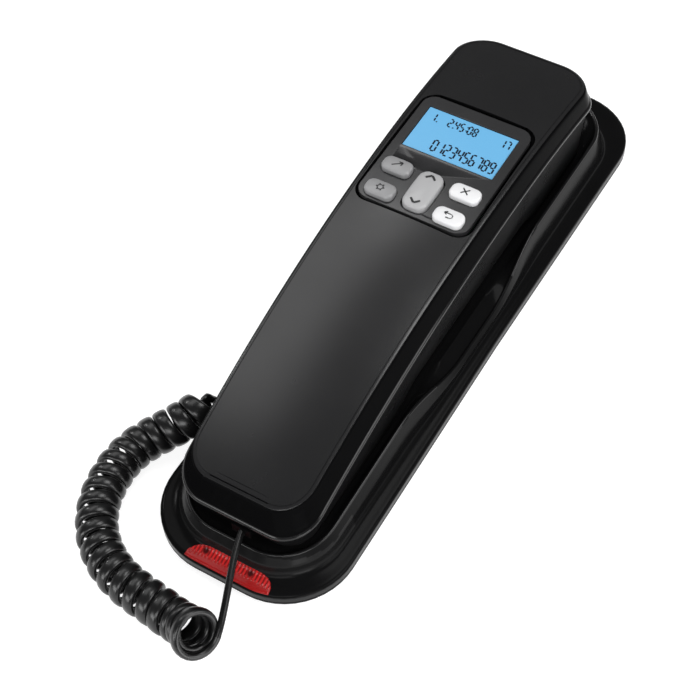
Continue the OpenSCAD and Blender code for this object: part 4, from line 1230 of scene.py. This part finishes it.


# Painted shade on the left keys, a half-lit grey on the rocker and a painted highlight on the right keys.
key_painted_shade = key_finish("key_painted_shade", (0.30, 0.30, 0.305))
key_painted_mid_light = key_finish("key_painted_mid_light", (0.44, 0.44, 0.445))
key_painted_highlight = key_finish("key_painted_highlight", (0.86, 0.86, 0.87))
keys = {"menu_key_left_upper": (-12, 12.9, key_painted_shade), "menu_key_left_lower": (-12, 2.0, key_painted_shade),
        "menu_key_right_upper": (12, 12.9, key_painted_highlight), "menu_key_right_lower": (12, 2.0, key_painted_highlight)}
for name, (x, y, finish) in keys.items():
    key = pillow(name + "_look", 9.8, 5.8, 2.0, 0.03, 0.05, KEY_FOOT, KEY_EDGE, (x, y))
    paint(key, finish)
    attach(key, name)
    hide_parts(name)
rocker = pillow("scroll_rocker_look", 8.0, 15.6, 2.6, 0.08, 0.03, KEY_FOOT, KEY_EDGE, (0, 7.6), 0.3)
paint(rocker, key_painted_mid_light)
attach(rocker, "rocker")
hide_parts("scroll_rocker")
print("keys", len(keys), "and a rocker of", len(rocker.data.polygons), "faces")

# %% [markdown]
# The display shows slanted seven-segment figures. A font would bring smooth letters, while a segment
# display has gaps between its bars. So each figure is a set of six-cornered bars, lettered a to g as on a
# data sheet.

# %% Bars and figures
SEGMENTS = {"0": "abcdef", "1": "bc", "2": "abged", "3": "abgcd", "4": "fgbc", "5": "afgcd", "6": "afgedc",
            "7": "abc", "8": "abcdefg", "9": "abcdfg"}
SLANT = -0.06
BAR_GAP = 1.15


def bar(p, q, half):
    p = np.array(p, float)
    q = np.array(q, float)
    along = unit(q - p)
    side = np.array((-along[1], along[0])) * half
    a = p + along * half * 0.5
    b = q - along * half * 0.5
    return [p, a + side, b + side, q, b - side, a - side]


def digit(char, x, y, w, h, half):
    gap = half * BAR_GAP
    ends = {"a": ((0, h), (w, h)), "b": ((w, h), (w, h / 2)), "c": ((w, h / 2), (w, 0)),
            "d": ((0, 0), (w, 0)), "e": ((0, h / 2), (0, 0)), "f": ((0, h), (0, h / 2)),
            "g": ((0, h / 2), (w, h / 2))}
    shapes = []
    for key in SEGMENTS[char]:
        p, q = (np.array(e, float) for e in ends[key])
        along = unit(q - p)
        shape = bar(p + along * gap * 0.5, q - along * gap * 0.5, half)
        shapes.append([(x + c[0] + SLANT * c[1], y + c[1]) for c in shape])
    return shapes


print("bars in an eight", len(digit("8", 0, 0, 1.5, 4.7, 0.29)))

# %% [markdown]
# Bars are flat so far. Printed ink has almost no thickness, and a decal image isn't at hand, so each shape
# becomes a plate a few hundredths of a millimetre thick, and all plates of one piece share a mesh.


# %% Plates of ink
def flat_shapes(name, shapes, z, body, material, thick=0.03):
    points = []
    faces = []
    for shape in shapes:
        start = len(points)
        n = len(shape)
        points += [(x, y, z) for x, y in shape] + [(x, y, z + thick) for x, y in shape]
        faces.append(tuple(range(start + n, start + 2 * n)))
        faces += [(start + i, start + (i + 1) % n, start + (i + 1) % n + n, start + i + n) for i in range(n)]
    piece = mesh_object(name, points, faces)
    paint(piece, material)
    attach(piece, body)
    return piece


print("finishes before the ink", len(bpy.data.materials))

# %% [markdown]
# A long row of figures lies below a row of small ones, as on a call display. They are ink on the window's
# top, a hundredth of a millimetre above it, because two surfaces in one plane would flicker.

# %% Figures on the display
LARGE = (1.5, 4.7, 0.29)
SMALL = (1.2, 3.4, 0.26)
LARGE_AT = (-7.2, 25.0)
LARGE_STEP = 2.27
SMALL_Y = 36.8
SMALL_ROW = (("1", -13.2), ("2", -7.2), ("4", -4.9), ("5", -3.0), ("0", -0.2), ("8", 1.7), ("1", 11.6),
             ("7", 13.5))
DOTS = ((-11.3, 36.7), (-5.4, 36.7), (-1.0, 37.6), (-1.1, 39.2))
DOT = 0.45
ink = plastic("lcd_ink", (0.004, 0.010, 0.024), 0.5, specular=0.2)
window_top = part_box("display_window")[1][2] / MM + 0.01
figures = []
for i, char in enumerate("0123456789"):
    figures += digit(char, LARGE_AT[0] + i * LARGE_STEP, LARGE_AT[1], *LARGE)
for char, x in SMALL_ROW:
    figures += digit(char, x, SMALL_Y, *SMALL)
for x, y in DOTS:
    figures.append([(x, y), (x + DOT, y), (x + DOT, y + DOT), (x, y + DOT)])
flat_shapes("display_figures", figures, window_top, "handset", ink)
print("bars and dots on the display", len(figures))

# %% [markdown]
# Each key carries a plain picture drawn from the same bars: an arrow out, a small wheel, a cross and an
# arrow back, with two chevrons on the rocker. They are thin plates of ink on the key's top and ride with
# the key.

# %% Pictures on the keys
key_ink = plastic("key_ink", (0.015, 0.015, 0.016), 0.4)
WHEEL_TEETH = 6
TOOTH_ANGLE = 1.0472


def stroke(points, half):
    return [bar(points[i], points[i + 1], half) for i in range(len(points) - 1)]


def arc(cx, cy, r, a0, a1, count=10):
    angles = [math.radians(mix(a0, a1, i / count)) for i in range(count + 1)]
    return [(cx + r * math.cos(a), cy + r * math.sin(a)) for a in angles]


arrow_out = stroke([(-1.6, -1.0), (1.3, 1.0)], 0.2) + stroke([(0.1, 1.15), (1.5, 1.15), (1.2, -0.2)], 0.2)
wheel = stroke(arc(0, 0, 0.95, 0, 360, 18), 0.22)
for k in range(WHEEL_TEETH):
    c = math.cos(k * TOOTH_ANGLE)
    s = math.sin(k * TOOTH_ANGLE)
    wheel += stroke([(c, s), (1.5 * c, 1.5 * s)], 0.24)
cross = stroke([(-1.2, -1.1), (1.2, 1.1)], 0.22) + stroke([(-1.2, 1.1), (1.2, -1.1)], 0.22)
arrow_back = stroke([(-0.7, 1.2), (-1.7, 0.5), (-0.7, -0.2)], 0.2)
arrow_back += stroke([(-1.6, 0.5)] + arc(0.6, -0.35, 0.85, 90, -90) + [(-0.6, -1.2)], 0.2)
pictures = {"menu_key_left_upper": arrow_out, "menu_key_left_lower": wheel, "menu_key_right_upper": cross,
            "menu_key_right_lower": arrow_back}
for name, shapes in pictures.items():
    x, y, _ = keys[name]
    moved = [[(x + px, y + py) for px, py in shape] for shape in shapes]
    flat_shapes(name + "_sign", moved, KEY_TOP + 0.02, name, key_ink)
chevrons = stroke([(-1.7, 12.3), (0, 13.9), (1.7, 12.3)], 0.36)
chevrons += stroke([(-1.7, 2.9), (0, 1.3), (1.7, 2.9)], 0.36)
flat_shapes("scroll_rocker_sign", chevrons, KEY_TOP - 0.02, "rocker", key_ink)
print("pictures", len(pictures) + 1)

# %% [markdown]
# The ringer lens is a red half moon let into the flange's near slope, so it has to follow that slope
# exactly. A Shrinkwrap modifier could press a flat shape on it. The slope's own formula is at hand, though,
# so the lens is a grid of points on that surface, lifted by a third of a millimetre and rolled down at its
# brim.

# %% The lens on the flange
LENS_MID = 1.5
LENS_LOW = 0.27


def flange_point(x, share, lift):
    """A point on the flange's near slope; share runs from its edge up to the wall."""
    s = share * wall_knots[-1]
    a = spline_at(WALL, wall_knots, max(s - 0.05, 0.0))
    b = spline_at(WALL, wall_knots, min(s + 0.05, wall_knots[-1] - 1e-6))
    t, h, _ = spline_at(WALL, wall_knots, s)
    hw, y0, _, r = between(FLANGE, RIM_OUT, max(t, 0))
    aside = max(0.0, abs(x) - (hw - r))
    y = y0 + r - math.sqrt(r * r - aside * aside)
    deep = RIM_OUT[1] - FLANGE[1]
    slope = unit(np.array((-(b[1] - a[1]), (b[0] - a[0]) * deep)))
    return (x, y + lift * slope[0], h + lift * slope[1])


print("lens's lower edge", [round(float(c), 1) for c in flange_point(LENS_MID, LENS_LOW, 0)])

# %% [markdown]
# The half moon is a grid with a straight lower edge and an upper edge that falls off in a quarter of an
# ellipse at both sides. Every point also keeps a share for the ribs: none in the plain band below and none
# at the brim.

# %% Points of the lens
LENS_HALF = 14.5
LENS_FLAT = 7.0
LENS_HIGH = 0.74
LENS_N = 232
LENS_M = 22
LENS_LIFT = 0.3
LENS_DEEP = -0.9
RIBS_FROM = 0.36
RIBS_FADE = 0.06
BRIM_UP = 9
BRIM_ENDS = 2
lens_points = []
rib_shares = []
for side in (0, 1):
    for i in range(LENS_N + 1):
        off = mix(-LENS_HALF, LENS_HALF, i / LENS_N)
        bend = max(0.0, (abs(off) - LENS_FLAT) / (LENS_HALF - LENS_FLAT))
        high = mix(LENS_LOW + 0.01, LENS_HIGH, math.sqrt(max(0.0, 1 - bend * bend)))
        for j in range(LENS_M + 1):
            v = j / LENS_M
            brim = min(1.0, min(v, 1 - v) * BRIM_UP, (LENS_HALF - abs(off)) * BRIM_ENDS)
            lift = LENS_DEEP if side else 0.02 + LENS_LIFT * ease(brim)
            rib_shares.append(0.0 if side else brim * ease((v - RIBS_FROM) / RIBS_FADE))
            lens_points.append(flange_point(LENS_MID + off, mix(LENS_LOW, high, v), lift))
print("lens points", len(lens_points))

# %% [markdown]
# The lens needs a thickness, so a second sheet of the same points lies deeper in the flange, and a wall
# joins the two along their brim. A Solidify modifier would do this too, but it would also thicken the
# rolled brim.

# %% Closing the lens
half_count = (LENS_N + 1) * (LENS_M + 1)
lens_faces = []
for i in range(LENS_N):
    for j in range(LENS_M):
        a = i * (LENS_M + 1) + j
        quad = (a, a + LENS_M + 1, a + LENS_M + 2, a + 1)
        lens_faces.append(quad)
        lens_faces.append(tuple(half_count + k for k in reversed(quad)))
rim_loop = [i * (LENS_M + 1) for i in range(LENS_N + 1)]
rim_loop += [LENS_N * (LENS_M + 1) + j for j in range(1, LENS_M + 1)]
rim_loop += [i * (LENS_M + 1) + LENS_M for i in range(LENS_N - 1, -1, -1)]
rim_loop += list(range(LENS_M - 1, 0, -1))
for a, b in zip(rim_loop, rim_loop[1:] + rim_loop[:1]):
    lens_faces.append((a, a + half_count, b + half_count, b))
ring_lens = mesh_object("ring_lens_look", lens_points, lens_faces, 60)
ribbed = ring_lens.data.attributes.new("rib_share", "FLOAT", "POINT")
ribbed.data.foreach_set("value", rib_shares)
print("lens faces", len(ring_lens.data.polygons))

# %% [markdown]
# The lens's red carries painted shade: it is darkened in the grooves between the ribs and on the plain band
# below them, and two spots of painted shade lie where the lamps stand behind the lens. Painting an image
# would do, but a sum stays sharp at any distance: a cosine of the place along the lens gives the grooves, and
# the largest of all the shade shares wins.

# %% Red of the lens
RIB_PITCH = 1.18
BAND_SHADE = 0.45
LAMP_SHADE = 0.97
LAMP_X = (-7.4, 8.2)
LAMP_Y = -0.1117
LAMP_Z = 0.0063
lens = Finish("lens_red", (0.50, 0.015, 0.015), 0.22, specular=0.3)
across = lens.node("ShaderNodeSeparateXYZ", sockets={"Vector": lens.place}, out="X")
ahead = lens.node("ShaderNodeSeparateXYZ", sockets={"Vector": lens.place}, out="Y")
wave = ((across - LENS_MID * MM) * (2 * math.pi / (RIB_PITCH * MM))).cosine()
upper = lens.remap(ahead, 0.0, 1.0, -0.1134, -0.1128)
groove_shade = lens.remap(wave, 0.75, 0.0, -1.0, 0.6) * upper
# Painted shade: the red is darkened in the grooves, on the plain band below the ribs and over the two lamps
# behind the lens.
lens_shade = groove_shade.larger((1 - upper) * BAND_SHADE)
for x in LAMP_X:
    ends = {0: lens.place, 1: (x * MM, LAMP_Y, LAMP_Z)}
    away = lens.node("ShaderNodeVectorMath", {"operation": "DISTANCE"}, ends, "Value")
    lens_shade = lens_shade.larger(lens.remap(away, LAMP_SHADE, 0.0, 0.0007, 0.0016))
lens.vary_color(lens_shade, (0.62, 0.018, 0.018), (0.05, 0.002, 0.002))
print("nodes in the lens's red", len(lens.tree.nodes))

# %% [markdown]
# The ribs themselves are raised. They repeat along the lens, which is work for Geometry Nodes: each point
# moves along its normal by a cosine of its place, times the share that the point carries. Pitch, height and
# middle are named inputs of the tree. The result is copied into a plain mesh, and the modifier goes.


# %% Ribs of the lens
def rib_tree(material):
    """Waves across the lens: each point moves along its normal by a cosine of its place along the lens."""
    tree = bpy.data.node_groups.new("lens_ribs", "GeometryNodeTree")
    tree.interface.new_socket("Geometry", in_out="INPUT", socket_type="NodeSocketGeometry")
    sizes = {}
    for label in ("Rib pitch", "Rib height", "Lens middle"):
        socket = tree.interface.new_socket(label, in_out="INPUT", socket_type="NodeSocketFloat")
        sizes[label] = socket.identifier
    tree.interface.new_socket("Geometry", in_out="OUTPUT", socket_type="NodeSocketGeometry")
    ribs = Bench(tree)

    def given(label):
        return ribs.node("NodeGroupInput", out=label)

    place = ribs.node("GeometryNodeInputPosition")
    across = ribs.node("ShaderNodeSeparateXYZ", sockets={"Vector": place}, out="X")
    crest = ((across - given("Lens middle")) / given("Rib pitch") * (2 * math.pi)).cosine()
    share = ribs.node("GeometryNodeInputNamedAttribute", {"data_type": "FLOAT"}, {"Name": "rib_share"})
    lift = crest * given("Rib height") * share
    raised = {0: ribs.node("GeometryNodeInputNormal"), "Scale": lift}
    offset = ribs.node("ShaderNodeVectorMath", {"operation": "SCALE"}, raised)
    moved = ribs.node("GeometryNodeSetPosition", sockets={"Geometry": given("Geometry"), "Offset": offset})
    whole = ribs.node("GeometryNodeRealizeInstances", sockets={"Geometry": moved})
    red = ribs.node("GeometryNodeSetMaterial", sockets={"Geometry": whole, "Material": material})
    ribs.node("NodeGroupOutput", sockets={"Geometry": red})
    return tree, sizes


print("the tree's sizes are set by identifier, not by name")

# %% [markdown]
# The modifier's sizes are set before the lens is first evaluated, each by its socket's identifier. Then the
# ribbed mesh takes the place of the plain one, and the lens is given to the base.

# %% Raising the ribs
RIB_HEIGHT = 0.1
rib_group, rib_sizes = rib_tree(lens.material)
modifier = ring_lens.modifiers.new("ribs", "NODES")
modifier.node_group = rib_group
modifier[rib_sizes["Rib pitch"]] = RIB_PITCH * MM
modifier[rib_sizes["Rib height"]] = RIB_HEIGHT * MM
modifier[rib_sizes["Lens middle"]] = LENS_MID * MM
bpy.context.view_layer.update()
ribbed_mesh = bpy.data.meshes.new_from_object(ring_lens.evaluated_get(bpy.context.evaluated_depsgraph_get()))
ring_lens.modifiers.clear()
ring_lens.data = ribbed_mesh
finish_mesh(ribbed_mesh, 60)
paint(ring_lens, lens.material)
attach(ring_lens, "base")
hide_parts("ring_lens")
print("lens ribs", int(2 * LENS_HALF / RIB_PITCH))

# %% [markdown]
# The picture was taken on white, so the floor is plain luminous paper in a dim grey room. Bright paper lights
# the phone from below as a light table does, and the dim room keeps the glossy black deep.

# %% Room and paper floor
ROOM_GREY = (0.14, 0.14, 0.142, 1)
PAPER = (0.4, 0.4, 0.4)
PAPER_GLOW = 0.85
world = bpy.data.worlds.new("studio")
world.use_nodes = True
scene.world = world
background = world.node_tree.nodes["Background"]
background.inputs["Color"].default_value = ROOM_GREY
background.inputs["Strength"].default_value = 1.0
floor_mesh = bpy.data.meshes.new("floor")
floor_mesh.from_pydata([(-8, -8, 0), (8, -8, 0), (8, 8, 0), (-8, 8, 0)], [], [(0, 1, 2, 3)])
floor = bpy.data.objects.new("floor", floor_mesh)
scene.collection.objects.link(floor)
paper = Finish("floor_paper", PAPER, 1.0, specular=0.0)
paper.feed(paper.surface["Emission Color"], (1, 1, 1, 1))
paper.feed(paper.surface["Emission Strength"], PAPER_GLOW)
paint(floor, paper.material)
print("paper glow", PAPER_GLOW)

# %% [markdown]
# Soft boxes are area lamps, and glossy plastic shows each of them as a pale patch. So they are placed by
# what they should show: the key box lies on the handset's back, the right and front boxes draw the rim and
# the lip, small cards pick out the near corner, and a small box puts a light on every curl.


# %% Soft boxes
def soft_box(name, at, aim, size, power):
    data = bpy.data.lights.new(name, "AREA")
    data.shape = "RECTANGLE"
    data.size = size[0]
    data.size_y = size[1]
    data.energy = power
    data.spread = math.pi
    lamp = bpy.data.objects.new(name, data)
    scene.collection.objects.link(lamp)
    lamp.location = at
    lamp.rotation_euler = (Vector(aim) - Vector(at)).to_track_quat("-Z", "Y").to_euler()
    return lamp


soft_box("key_box", (-0.63, 0.285, 1.0), (-0.63, 0.285, 0.0), (0.54, 0.87), 2.9)
soft_box("right_box", (0.75, 0.05, 0.45), (0.0, 0.0, 0.03), (0.5, 0.5), 3.2)
soft_box("front_box", (0.25, -0.75, 0.55), (0.0, -0.08, 0.02), (0.5, 0.3), 2.6)
soft_box("top_box", (0.25, 0.35, 1.1), (0.0, 0.0, 0.0), (0.5, 0.5), 4.6)
soft_box("corner_card", (0.097, -0.159, 0.012), (0.017, -0.098, 0.024), (0.05, 0.03), 0.02)
soft_box("front_card", (-0.29, -0.82, 0.26), (0.0, -0.1, 0.02), (0.5, 0.25), 2.4)
soft_box("spot_box", (-0.40, 0.62, 1.0), (-0.03, -0.05, 0.03), (0.2, 0.2), 0.3)
soft_box("curl_box", (-0.85, 0.05, 0.6), (-0.04, -0.1, 0.01), (0.12, 0.12), 0.9)
scene.view_settings.view_transform = "Standard"
scene.view_settings.look = "None"
print("soft boxes", len(bpy.data.lights))
